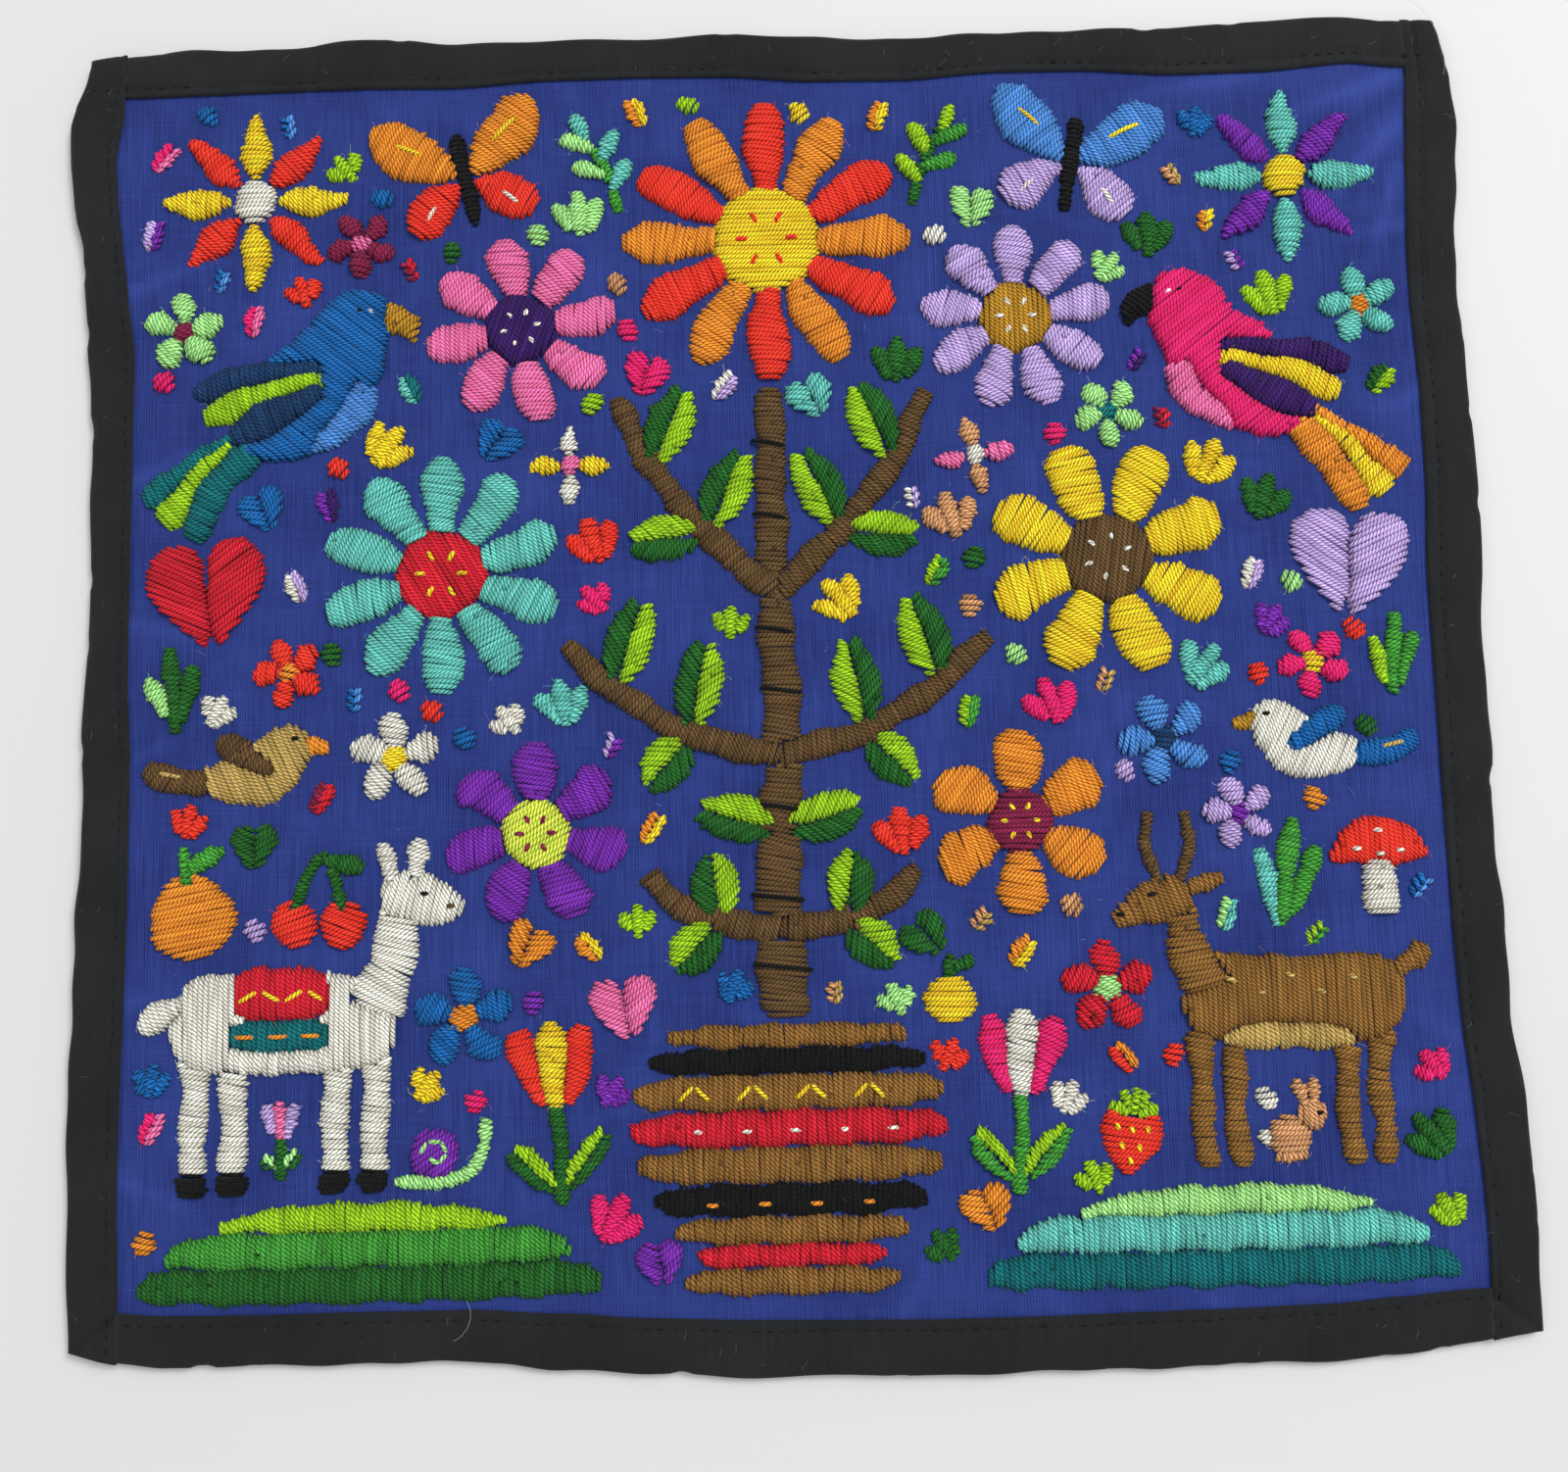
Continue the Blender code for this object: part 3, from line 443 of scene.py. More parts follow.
def cotton(name, colour, light, pitch, ribs, slub, lint):
    """Ribs pitch mm apart that show by ribs, threads that vary by slub, and specks above lint."""
    n = Nodes(name)
    place = n.uv("weave")
    x, y, _ = n.split(place)
    slow = n.join(n.math("MULTIPLY", x, 0.15), n.math("MULTIPLY", y, 0.02))
    drift = n.math("MULTIPLY", n.noise(slow, 1.0, 2.0), 1.6)
    warp = n.math("SINE", n.math("MULTIPLY", n.math("ADD", x, drift), 2 * math.pi / pitch))
    weft = n.math("SINE", n.math("MULTIPLY", y, 2 * math.pi / (pitch * 0.62)))
    weave = n.math("MULTIPLY_ADD", n.math("MULTIPLY", warp, weft), 0.15, n.math("MULTIPLY", warp, 0.85))
    upright = n.noise(n.join(n.math("MULTIPLY", x, 1.9), n.math("MULTIPLY", y, 0.045)), 1.0, 3.0, 0.6)
    across = n.noise(n.join(n.math("MULTIPLY", x, 0.06), n.math("MULTIPLY", y, 1.3)), 1.0, 2.0, 0.6)
    cloudy = n.noise(place, 0.03, 3.0, 0.55)
    threads = n.math("SUBTRACT", n.math("MULTIPLY_ADD", across, 0.35, upright), 0.675)
    shade = n.math("MULTIPLY_ADD", threads, slub, n.math("MULTIPLY", n.math("SUBTRACT", cloudy, 0.5), 1.3))
    shade = n.math("MULTIPLY_ADD", weave, ribs, shade)
    # Painted light and shade: the fold height makes crease ridges paler and troughs darker.
    shade = n.math("MULTIPLY_ADD", n.attribute("fold"), PAINTED_RIDGE_LIGHT, shade)
    body = n.mix(n.ramp(shade, -0.75, 0.75), linear(colour), linear(light))
    specks = n.ramp(n.noise(place, 0.8, 5.0, 0.75), lint, lint + 0.03)
    body = n.mix(n.math("MULTIPLY", specks, 0.35), body, linear(SPECK))
    fuzz = n.noise(place, 3.5, 3.0, 0.7)
    rough_yarn = n.math("MULTIPLY", n.math("ADD", fuzz, upright), 0.7)
    height = n.math("ADD", n.math("MULTIPLY", weave, 0.45), rough_yarn)
    rough = n.math("ADD", 0.78, n.math("MULTIPLY", fuzz, 0.2))
    return n.finish(body, rough, n.bump(height, 0.6, 0.0002), 0.08)


blue = cotton("cotton_blue", (15, 26, 74), (44, 60, 128), 0.74, 0.28, 1.7, 0.735)
black = cotton("cotton_black", (15, 16, 18), (33, 35, 37), 0.5, 0.12, 0.9, 0.715)
print("cottons", blue.name, black.name)

# %% [markdown]
# The ground is one panel. Its raw edges lie hidden inside the folded binding, so the sheet stops just short
# of the fold. Between motifs it is drawn up a little by the stitching, which the waves give.

# %% Ground cloth
GROUND_TOP = 2.3
GROUND_THICK = 0.5
GROUND_GRID = (186, 174)
RIM = 2.8
SPAN_X, SPAN_Y = (-205, 207), (-190, 196)
OPEN_X, OPEN_Y = (-186, 188), (-174, 178)


def ground_place(u, v):
    """A first guess at the place picks the edges there, and the cloth then spans between them."""
    x0, y0 = between(*SPAN_X, u), between(*SPAN_Y, v)
    x = between(edge(LEFT, y0) + RIM, edge(RIGHT, y0) - RIM, u)
    y = between(edge(BOTTOM, x0) + RIM, edge(TOP, x0) - RIM, v)
    from_rim = np.minimum.reduce([x - OPEN_X[0], OPEN_X[1] - x, y - OPEN_Y[0], OPEN_Y[1] - y])
    inside = np.clip(from_rim / 6 + 0.2, 0, 1)
    pucker = 0.22 * waves(x, y, 8, 18, 14, 5) + 0.2 * waves(x, y, 22, 60, 8, 6)
    z = GROUND_TOP - GROUND_THICK / 2 + inside * (pucker + creases(x, y, CREASES) - 0.1)
    return x, y, z


ground = cloth("ground_panel", *GROUND_GRID, ground_place, GROUND_THICK, blue, CREASES)
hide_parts("ground_cloth")
print("ground quads", len(ground.data.polygons))

# %% [markdown]
# Each binding strip is a band of black cotton folded over the raw edge: a front leaf, a round fold and a
# back leaf. Across the front leaf the cloth puffs up between fold and seam, dips into the seam, and ends
# flat on the ground. The side strips run the full height, and the others fit between them, with a lap of
# LAP mm at each end so that no gap shows in the joint.

# %% Binding strips
STRIP_THICK = 0.6
FRONT_MIDDLE = 3.08
BACK_MIDDLE = 0.42
SEAMS = {
    # distance of the seam from the outer edge as a share of the leaf, at the start and end of the strip
    "top": (0.79, 0.76), "bottom": (0.76, 0.81), "left": (0.77, 0.81), "right": (0.83, 0.64),
}
STITCH = 3.8
FOLD_R = (FRONT_MIDDLE - BACK_MIDDLE) / 2
LEAF_START = FOLD_R + STRIP_THICK / 2
FRONT_ROWS, FOLD_ROWS, BACK_ROWS = 15, 7, 3
STRIP_COLUMNS = 300
STRIP_FOOT, STRIP_HEAD = -189, 195
STRIP_LEVEL = {"top": 190.0, "bottom": -186.0}
LAP = 0.4

front = [(f, LEAF_START, FRONT_MIDDLE) for f in np.linspace(1, 0, FRONT_ROWS)]
fold = [(0.0, FOLD_R * (1 + math.cos(a)) + STRIP_THICK / 2, BACK_MIDDLE + FOLD_R * (1 + math.sin(a)))
        for a in np.linspace(math.pi / 2, 3 * math.pi / 2, FOLD_ROWS)[1:]]
under = [(f, LEAF_START, BACK_MIDDLE) for f in np.linspace(0, 1, BACK_ROWS)[1:]]
SECTION = np.array(front + fold + under)
IN_FRONT = np.array([1.0] * FRONT_ROWS + [0.0] * (len(fold) + len(under)))


def strip_xy(name, u, fraction, depth):
    """Place on a strip: u runs along it, fraction and depth run inwards from its outer edge."""
    table, inward = SIDES[name]
    if name in UPRIGHT:
        y = between(STRIP_FOOT, STRIP_HEAD, u)
        x = between(edge(table, y) + inward * depth, inner(table, y), fraction)
        return x, between(edge(BOTTOM, x), edge(TOP, x), u)
    level = STRIP_LEVEL[name]
    x = between(inner(LEFT, level) - LAP, inner(RIGHT, level) + LAP, u)
    y = between(edge(table, x) + inward * depth, inner(table, x), fraction)
    return between(inner(LEFT, y) - LAP, inner(RIGHT, y) + LAP, u), y


def front_height(run, fraction, seam, seed):
    """Height of the front leaf over its mid level: a puff, the seam's dip, the low inner rim and puckers."""
    away = fraction - seam
    puff = 0.26 * np.sin(np.clip(fraction / seam, 0, 1) * math.pi)
    dip = -0.40 * np.exp(-((away / 0.07) ** 2))
    rim = -0.36 * np.clip((away - 0.08) / 0.2, 0, 1) ** 1.5
    pull = 0.20 * waves(run, 0 * run, 3.4, 9, 7, seed) * np.exp(-((away / 0.28) ** 2))
    pull += 0.05 * np.cos(2 * math.pi * run / STITCH) * np.exp(-((away / 0.1) ** 2))
    slanting = 0.15 * waves(run + 5 * fraction, fraction * 6, 9, 22, 7, seed + 1) * (1 - fraction)
    roll = 0.12 * waves(run, fraction * 12, 30, 70, 5, seed + 2) * (1 - fraction)
    return puff + dip + rim + pull + slanting + roll


def front_shape(name, u, fraction, x, y):
    """Height of a strip's front leaf over its middle level, with creases and ends."""
    run = y if name in UPRIGHT else x
    shape = front_height(run, fraction, between(*SEAMS[name], u), STRIPS[name])
    from_end = np.minimum(u, 1 - u)
    if name in UPRIGHT:
        low_end = np.exp(-((u / 0.045) ** 4))
        top_end = np.exp(-(((1 - u) / 0.038) ** 4))
        step = (0.36 if name == "left" else 0.1) * top_end * np.clip((fraction - 0.6) / 0.3, 0, 1)
        shape = shape * (1 - 0.85 * low_end) + step
    elif name == "bottom":
        shape = shape * (1 - np.exp(-((from_end / 0.02) ** 2)))
    else:
        shape = shape - 0.15 * np.exp(-from_end * 150)
    return shape + creases(x, y, BINDING_CREASES)


def strip_place(name):
    """The function that lays out one strip's grid, with small notches along its fold."""
    inward = SIDES[name][1]
    upright = name in UPRIGHT

    def place(u, v):
        row = np.rint(v * (len(SECTION) - 1)).astype(int)
        fraction, depth, z = SECTION[row, 0], SECTION[row, 1], SECTION[row, 2]
        x, y = strip_xy(name, u, fraction, depth)
        shape = front_shape(name, u, fraction, x, y)
        dents = waves(y if upright else x, 0 * x, 7, 24, 6, STRIPS[name] + 9)
        notch = 0.75 * np.clip(dents - 0.9, 0, 1) * (1 - fraction)
        if upright:
            x = x + notch * inward
        else:
            y = y + notch * inward
        return x, y, z + IN_FRONT[row] * shape

    return place


STRIPS = {"top": 11, "bottom": 14, "left": 17, "right": 20}
for name in STRIPS:
    layout = (STRIP_COLUMNS, len(SECTION), strip_place(name))
    strip = cloth("binding_" + name + "_strip", *layout, STRIP_THICK, black, BINDING_CREASES)
    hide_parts("binding_" + name)

# %% [markdown]
# The picture itself is a generic one: a tree in a pot with flowers, birds and beasts around it, in the bright
# wools of such cloths. Each motif is drawn about its own middle at size 100, then scaled, turned and laid on
# the ground. A block of satin stitch is either a line with a width or a closed area with a stitch direction.

# %% Wool colours and the list of motifs
YARN = {
    "white": (228, 223, 210), "black": (10, 11, 12), "tan": (185, 154, 84), "gold": (176, 128, 32),
    "golden_brown": (135, 94, 40), "dark_brown": (93, 68, 37), "peach": (205, 148, 100),
    "red": (255, 50, 34), "crimson": (205, 26, 44), "wine": (128, 26, 64),
    "hot_pink": (248, 30, 108), "pink": (248, 108, 164), "orange": (232, 136, 38),
    "yellow": (255, 204, 34), "neon_lime": (214, 240, 76), "lime": (148, 198, 24),
    "pale_green": (160, 226, 132), "grass_green": (60, 148, 48), "dark_green": (28, 94, 30),
    "teal": (8, 103, 108), "turquoise": (96, 190, 178), "lake_blue": (16, 94, 166),
    "sky_blue": (72, 134, 210), "navy": (18, 52, 94), "lilac": (190, 164, 224),
    "violet": (114, 38, 166), "deep_purple": (50, 20, 92),
}
PARROT_BLUE = ("lake_blue", "navy", "teal", "lime", "gold", "sky_blue")
PARROT_PINK = ("hot_pink", "deep_purple", "orange", "yellow", "black", "pink")
MOTIFS = (
    # name, kind, x, y, size, turn, mirror, yarns
    ("tree", "tree", 0, 0, 100, 0, 1, ("dark_brown", "dark_green", "lime")),
    ("pot", "pot", 0, -138, 92, 0, 1, ("golden_brown", "black", "crimson")),
    ("flower_top", "daisy12", 0, 132, 88, 0, 1, ("red", "yellow", "orange")),
    ("flower_upper_left", "daisy8", -74, 106, 58, 10, 1, ("pink", "deep_purple")),
    ("flower_upper_right", "daisy9", 74, 106, 58, 0, 1, ("lilac", "gold")),
    ("flower_mid_left", "daisy10", -98, 32, 72, 0, 1, ("turquoise", "crimson")),
    ("flower_mid_right", "daisy8", 98, 32, 72, 20, 1, ("yellow", "dark_brown")),
    ("flower_low_left", "daisy7", -71, -45, 54, 0, 1, ("violet", "neon_lime")),
    ("flower_low_right", "daisy6", 69, -45, 54, 0, 1, ("orange", "wine")),
    ("parrot_left", "parrot", -145, 84, 82, 0, 1, PARROT_BLUE),
    ("parrot_right", "parrot", 146, 84, 82, 0, -1, PARROT_PINK),
    ("star_left", "star", -154, 148, 62, 0, 1, ("yellow", "red", "white")),
    ("star_right", "star", 157, 148, 60, 0, 1, ("turquoise", "violet", "yellow")),
    ("butterfly_left", "butterfly", -91, 156, 54, 12, 1, ("orange", "red", "black")),
    ("butterfly_right", "butterfly", 93, 156, 54, -10, 1, ("sky_blue", "lilac", "black")),
    ("llama", "llama", -138, -98, 94, 0, 1, ("white", "crimson", "teal", "black")),
    ("deer", "deer", 139, -98, 94, 0, -1, ("golden_brown", "tan", "dark_brown")),
    ("hill_left", "hill", -119, -163.5, 130, 0, 1, ("dark_green", "grass_green", "lime")),
    ("hill_right", "hill", 121, -165, 132, 0, -1, ("teal", "turquoise", "pale_green")),
    ("tulip_left", "tulip", -66, -124, 52, 4, 1, ("red", "yellow", "dark_green", "lime")),
    ("tulip_right", "tulip", 66, -124, 52, -3, 1, ("hot_pink", "white", "grass_green", "lime")),
    ("tulip_small", "tulip", -144.3, -130, 22, 0, 1, ("lilac", "pink", "dark_green", "pale_green")),
    ("heart_left", "heart", -167, 27, 38, 6, 1, ("crimson",)),
    ("heart_right", "heart", 169, 28, 38, -6, 1, ("lilac",)),
    ("small_bird_left", "small_bird", -156, -24, 56, 0, 1, ("tan", "dark_brown", "orange")),
    ("small_bird_right", "small_bird", 157, -24, 56, 0, -1, ("white", "lake_blue", "gold")),
    ("daisy_left", "daisy5", -112, -22, 27, 0, 1, ("white", "yellow")),
    ("daisy_right", "daisy5", 112, -22, 27, 20, 1, ("sky_blue", "navy")),
    ("daisy_corner_left", "daisy5", -175, 108, 24, 0, 1, ("pale_green", "wine")),
    ("daisy_corner_right", "daisy5", 177, 107, 24, 12, 1, ("turquoise", "orange")),
    ("sprig_left", "sprig", -50, 158, 34, 20, 1, ("grass_green", "turquoise", "pale_green")),
    ("sprig_right", "sprig", 50, 158, 34, -20, -1, ("dark_green", "lime", "grass_green")),
    ("fruit_left", "fruit", -171, -62, 34, 10, 1, ("orange", "grass_green")),
    ("mushroom_right", "mushroom", 172, -60, 32, 0, 1, ("red", "white")),
    ("cherry_left", "cherry", -134, -62, 30, 0, 1, ("red", "dark_green")),
    ("leafy_right", "leafy", 145, -61, 32, -8, 1, ("grass_green", "turquoise")),
    ("rabbit_right", "rabbit", 143.5, -132, 24, 0, 1, ("peach", "white")),
    ("snail_left", "snail", -99, -133, 28, 0, 1, ("violet", "pale_green")),
    ("strawberry_right", "strawberry", 97, -134, 26, -8, 1, ("red", "lime")),
    ("heart_low_left", "heart", -46, -96, 21, 8, 1, ("pink",)),
    ("fruit_low_right", "fruit", 47, -92, 20, 0, 1, ("yellow", "dark_green")),
    ("leafy_left", "leafy", -177, 0, 26, 6, 1, ("dark_green", "pale_green")),
    ("leafy_upper_right", "leafy", 180, 2, 24, -4, 1, ("grass_green", "lime")),
    ("daisy_low_left", "daisy5", -92, -97, 29, 0, 1, ("lake_blue", "orange")),
    ("daisy_low_right", "daisy5", 92, -93, 27, 0, 1, ("crimson", "pale_green")),
    ("star_low_left", "spark", -60, 64, 26, 0, 1, ("white", "yellow", "pink")),
    ("star_low_right", "spark", 60, 64, 26, 10, 1, ("peach", "pink", "white")),
    ("daisy_beside_leafy", "daisy5", 132.5, -44, 21, 14, 1, ("lilac", "violet")),
    ("daisy_right_mid", "daisy5", 156.5, -0.5, 21, 28, 1, ("hot_pink", "yellow")),
    ("daisy_upper_right", "daisy5", 100.5, 76, 21, 34, 1, ("pale_green", "teal")),
    ("daisy_left_mid", "daisy5", -143, 4, 21, 21, 1, ("red", "orange")),
    ("daisy_upper_left", "daisy5", -122, 134, 21, -40, 1, ("wine", "pink")),
    ("tuft_mid_left", "tuft", -63, -7, 17.6, 10, 1, ("turquoise",)),
    ("tuft_mid_right", "tuft", 52.5, 46, 17.6, 11, 1, ("peach",)),
)
print("motifs", len(MOTIFS), "wool colours", len(YARN))

# %% [markdown]
# The drawing helpers are small on purpose. A petal is a line whose width swells and shrinks, a leaf is two
# areas that meet on a midrib with their stitches slanted towards the tip, and a disc is an area of even
# corners. A block's mirror image turns its stitch direction over too.

# %% Blocks of satin stitch
PETAL = ((0.0, 0.42), (0.34, 0.8), (0.72, 1.0), (0.97, 0.5))
SHORT_PETAL = ((0.0, 0.5), (0.62, 1.0), (0.97, 0.55))
LEAF = ((0.0, 0.0), (0.3, 0.46), (0.66, 0.46), (1.0, 0.0))
PETAL_WIDTH = {5: 34, 6: 30, 7: 26, 8: 23, 9: 20.5, 10: 18.5, 12: 15.5}


def line(stations, yarn):
    """stations are rows of x, y and width."""
    return ("line", tuple(stations), yarn, None)


def area(points, yarn, lay=None):
    """lay is the direction of the stitches in degrees, or None for straight across the shape."""
    return ("area", tuple(points), yarn, lay)


def petal(root, tip, width, yarn, shape=PETAL):
    """A line whose shape rows give the place along it and the share of the width there."""
    (ax, ay), (bx, by) = root, tip
    return line([(ax + (bx - ax) * t, ay + (by - ay) * t, width * w) for t, w in shape], yarn)


def ray(angle, near, far, width, yarn, at=(0, 0), shape=PETAL):
    """A petal that points away from a middle at an angle in degrees."""
    c, s = math.cos(math.radians(angle)), math.sin(math.radians(angle))
    root = (at[0] + near * c, at[1] + near * s)
    return petal(root, (at[0] + far * c, at[1] + far * s), width, yarn, shape)


def disc(x, y, width, yarn, sides=12, tall=1.0, lay=0):
    turns = [2 * math.pi * (k + 0.5) / sides for k in range(sides)]
    return area([(x + width / 2 * math.cos(a), y + width / 2 * tall * math.sin(a)) for a in turns], yarn, lay)


def mirrored(block):
    """The block turned over from left to right."""
    kind, points, yarn, lay = block
    if kind == "line":
        return (kind, tuple((-x, y, w) for x, y, w in points), yarn, None)
    return (kind, tuple((-x, y) for x, y in points), yarn, None if lay is None else 180 - lay)


def leaf(root, tip, width, light, dark):
    """Two halves that meet on the midrib."""
    (ax, ay), (bx, by) = root, tip
    dx, dy = bx - ax, by - ay
    long = math.hypot(dx, dy)
    axis = math.degrees(math.atan2(dy, dx))
    upper = [(ax + dx * t - dy / long * width * h, ay + dy * t + dx / long * width * h) for t, h in LEAF]
    lower = [(ax + dx * t + dy / long * width * h, ay + dy * t - dx / long * width * h) for t, h in LEAF]
    return [area(upper, light, axis + 48), area(lower, dark, axis - 48)]


print("block helpers ready")

# %% [markdown]
# Every kind of motif is a function that returns its blocks in the order in which they are stitched, so a
# later block lies over an earlier one. They hold the same shapes as the solids of the part.

# %% Flowers, leaves and fruit
def daisy(petals, yarns):
    """Petals in one or two wools by turns, round a middle of another."""
    other = yarns[2] if len(yarns) > 2 else yarns[0]
    turns = [(90 + 360 * k / petals, yarns[0] if k % 2 == 0 else other) for k in range(petals)]
    small = petals == 5
    root, middle, shape = (11, 30, SHORT_PETAL) if small else (16, 38 if petals > 6 else 36, PETAL)
    blocks = [ray(angle, root, 50, PETAL_WIDTH[petals], yarn, shape=shape) for angle, yarn in turns]
    return blocks + [disc(0, 0, middle, yarns[1], sides=8 if small else 12, lay=30 * petals)]


def heart(yarns):
    half = area([(0, 28), (-12, 42), (-32, 44), (-46, 30), (-46, 8), (-26, -20), (0, -44)], yarns[0], 150)
    return [half, mirrored(half)]


def star(yarns, rays=8, half_width=9):
    blocks = []
    for k in range(rays):
        turn = math.radians(90 + 360 * k / rays)
        c, s = math.cos(turn), math.sin(turn)
        kite = ((9, 0), (24, -half_width), (50, 0), (24, half_width))
        corners = [(r * c - q * s, r * s + q * c) for r, q in kite]
        blocks.append(area(corners, yarns[k % 2], math.degrees(turn) + 90))
    return blocks + [disc(0, 0, 22, yarns[2], sides=8)]


def spark(yarns):
    return star(yarns, rays=4, half_width=13)


def tulip(yarns):
    cup, middle, green, lime = yarns
    blocks = [line([(0, 8, 7), (1, -20, 7), (0, -50, 8)], green)]
    blocks += leaf((1, -44), (30, -8), 16, lime, green) + leaf((-1, -44), (-30, -14), 16, green, lime)
    blocks += [petal((-6, 4), (-19, 46), 19, cup), petal((6, 4), (19, 46), 19, cup)]
    return blocks + [petal((0, 2), (0, 50), 19, middle)]


def sprig(yarns):
    stem, a, b = yarns
    blocks = [line([(0, -50, 8), (3, -20, 8), (0, 14, 8), (-4, 32, 8)], stem)]
    blocks += [petal((1, -28), (26, -9), 15, a), petal((2, -14), (-24, 5), 15, b)]
    blocks += [petal((1, 0), (25, 21), 15, a), petal((-1, 14), (-25, 33), 15, b)]
    return blocks + [petal((-3, 24), (-6, 50), 15, a)]


def tuft(yarns):
    """Three short petals that spread from one root."""
    sides = [petal((-2, -36), (-40, 22), 34, yarns[0]), petal((2, -36), (40, 22), 34, yarns[0])]
    return sides + [petal((0, -38), (0, 42), 34, yarns[0])]


def strawberry(yarns):
    red, green = yarns
    berry = ((0, -48), (20, -30), (34, -6), (36, 12), (26, 24), (0, 28), (-26, 24), (-36, 12), (-34, -6),
             (-20, -30))
    crown = [ray(angle, 0, 28, 14, green, at=(0, 20)) for angle in (15, 60, 120, 165)]
    return [area(berry, red, 0)] + crown + [line([(0, 20, 9), (1, 34, 9), (2, 48, 9)], green)]


def leafy(yarns):
    green, lime = yarns
    sides = [petal((-1, -50), (-26, 18), 19, lime), petal((1, -50), (28, 26), 19, green)]
    return sides + [petal((0, -50), (2, 50), 20, green)]


def mushroom(yarns):
    cap, stalk = yarns
    dome = ((-46, 0), (46, 0), (38, 24), (20, 40), (0, 45), (-20, 40), (-38, 24))
    return [area(dome, cap, 90), area([(-18, -44), (18, -44), (14, 3), (-14, 3)], stalk, 0)]


def cherry(yarns):
    red, green = yarns
    blocks = [disc(-24, -24, 46, red, sides=10, lay=20), disc(24, -26, 46, red, sides=10, lay=-20)]
    blocks.append(line([(-24, -12, 9), (-12, 18, 9), (4, 44, 9)], green))
    blocks.append(line([(24, -12, 9), (17, 18, 9), (4, 44, 9)], green))
    return blocks + [petal((4, 38), (44, 26), 20, green)]


def fruit(yarns):
    skin, green = yarns
    ball = ((-10, 22), (-26, 10), (-38, -12), (-32, -36), (-12, -48), (12, -48), (32, -36), (38, -12),
            (26, 10), (10, 22))
    stalk = line([(0, 12, 9), (1, 30, 9), (2, 46, 9)], green)
    return [area(ball, skin, 0), stalk, petal((2, 26), (36, 38), 18, green)]


def pot(yarns):
    clay, dark, accent = yarns
    bands = (
        (33, 40, 74, clay), (25, 33, 86, dark), (14, 25, 96, clay), (3, 14, 98, accent), (-8, 3, 94, clay),
        (-18, -8, 84, dark), (-26, -18, 72, clay), (-33, -26, 58, accent), (-41, -33, 66, clay),
    )
    blocks = []
    for low, high, width, yarn in bands:
        half = width / 2
        blocks.append(area([(-half, low), (half, low), (half - 1, high), (1 - half, high)], yarn, 90))
    return blocks


ARMS = (
    ((0, 24), (20, 42), (36, 62), (46, 84)),
    ((0, -24), (26, -18), (48, -4), (62, 10)),
    ((0, -74), (18, -72), (30, -67), (39, -58)),
)
LEAVES = (
    ((20, 42), (7, 70)), ((20, 42), (46, 40)), ((36, 62), (24, 90)),
    ((26, -18), (20, 14)), ((48, -4), (38, 26)), ((26, -18), (40, -34)),
    ((0, -46), (27, -38)), ((18, -72), (21, -50)), ((18, -72), (33, -86)),
)


def tree(yarns):
    bark, green, lime = yarns
    blocks = [line([(0, -99, 15), (-2, -60, 13), (2, -20, 11), (-1, 30, 10), (0, 86, 8)], bark)]
    for hand in (1, -1):
        for arm in ARMS:
            blocks.append(line([(hand * x, y, w) for (x, y), w in zip(arm, (8, 7.5, 7, 6))], bark))
        for (ax, ay), (bx, by) in LEAVES:
            halves = (lime, green) if hand > 0 else (green, lime)
            blocks += leaf((hand * ax, ay), (hand * bx, by), 15, *halves)
    return blocks


def hill(yarns):
    low = area([(-50, -9), (50, -9), (50, -4), (46, -1), (-46, -1), (-50, -4)], yarns[0], 90)
    middle = area([(-46, -1.5), (46, -1.5), (42, 4), (35, 6.5), (-37, 6.5), (-43, 3)], yarns[1], 90)
    return [low, middle, area([(-36, 6), (34, 6), (24, 10), (8, 12), (-14, 12), (-28, 10)], yarns[2], 90)]


print("plant kinds ready, tree blocks:", len(tree(("a", "b", "c"))))

# %% [markdown]
# The animals are drawn in the same way. Legs and necks are lines with stitches across them, and bodies are
# areas, with a saddle cloth or a wing stitched on top.

# %% Animals
def butterfly(yarns):
    upper, lower, body = yarns
    high = area([(2, 4), (6, -4), (22, -3), (40, 6), (50, 22), (46, 36), (30, 38), (14, 24)], upper)
    low = area([(3, -6), (8, -18), (16, -32), (28, -36), (38, -26), (36, -12), (22, -5)], lower)
    trunk = line([(0, 22, 7), (0, 8, 9), (0, -14, 8), (0, -32, 5)], body)
    return [high, mirrored(high), low, mirrored(low), trunk]


def small_bird(yarns):
    body, wing, beak = yarns
    breast = ((-24, -4), (-18, -12), (-6, -18), (12, -20), (28, -10), (36, 6), (34, 18), (24, 24), (12, 20),
              (4, 8), (-12, 6))
    blocks = [area(breast, body), area([(33, 18), (33, 6), (50, 10)], beak, 90)]
    tail = line([(-18, -8, 12), (-36, -6, 14), (-50, 2, 12)], wing)
    return blocks + [tail, petal((16, -2), (-14, 16), 15, wing)]


def parrot(yarns):
    body, wing, tail, accent, beak, breast = yarns
    blocks = []
    for x, y, width, yarn in ((-50, -34, 11, tail), (-43, -42, 11, accent), (-33, -48, 11, tail)):
        blocks.append(line([(-8, -10, width), (-9 + x / 2, -7 + y / 2, width + 1), (x, y, width - 1)], yarn))
    outline = ((-18, -10), (-10, -20), (6, -20), (22, -10), (32, 4), (38, 20), (40, 32), (35, 42), (24, 44),
               (14, 38), (8, 28), (-4, 20), (-14, 8))
    blocks.append(area(outline, body))
    blocks.append(area([(22, 0), (14, -8), (9, -18), (22, -14), (33, -4), (35, 6), (26, 10)], breast))
    blocks.append(area([(37, 40), (37, 26), (42, 27), (48, 22), (50, 32)], beak))
    for x, y, drop, yarn in ((-34, 6, 0, wing), (-30, -4, 4, accent), (-20, -12, 8, wing)):
        blocks.append(petal((14, 14 - drop), (x, y), 14, yarn))
    return blocks


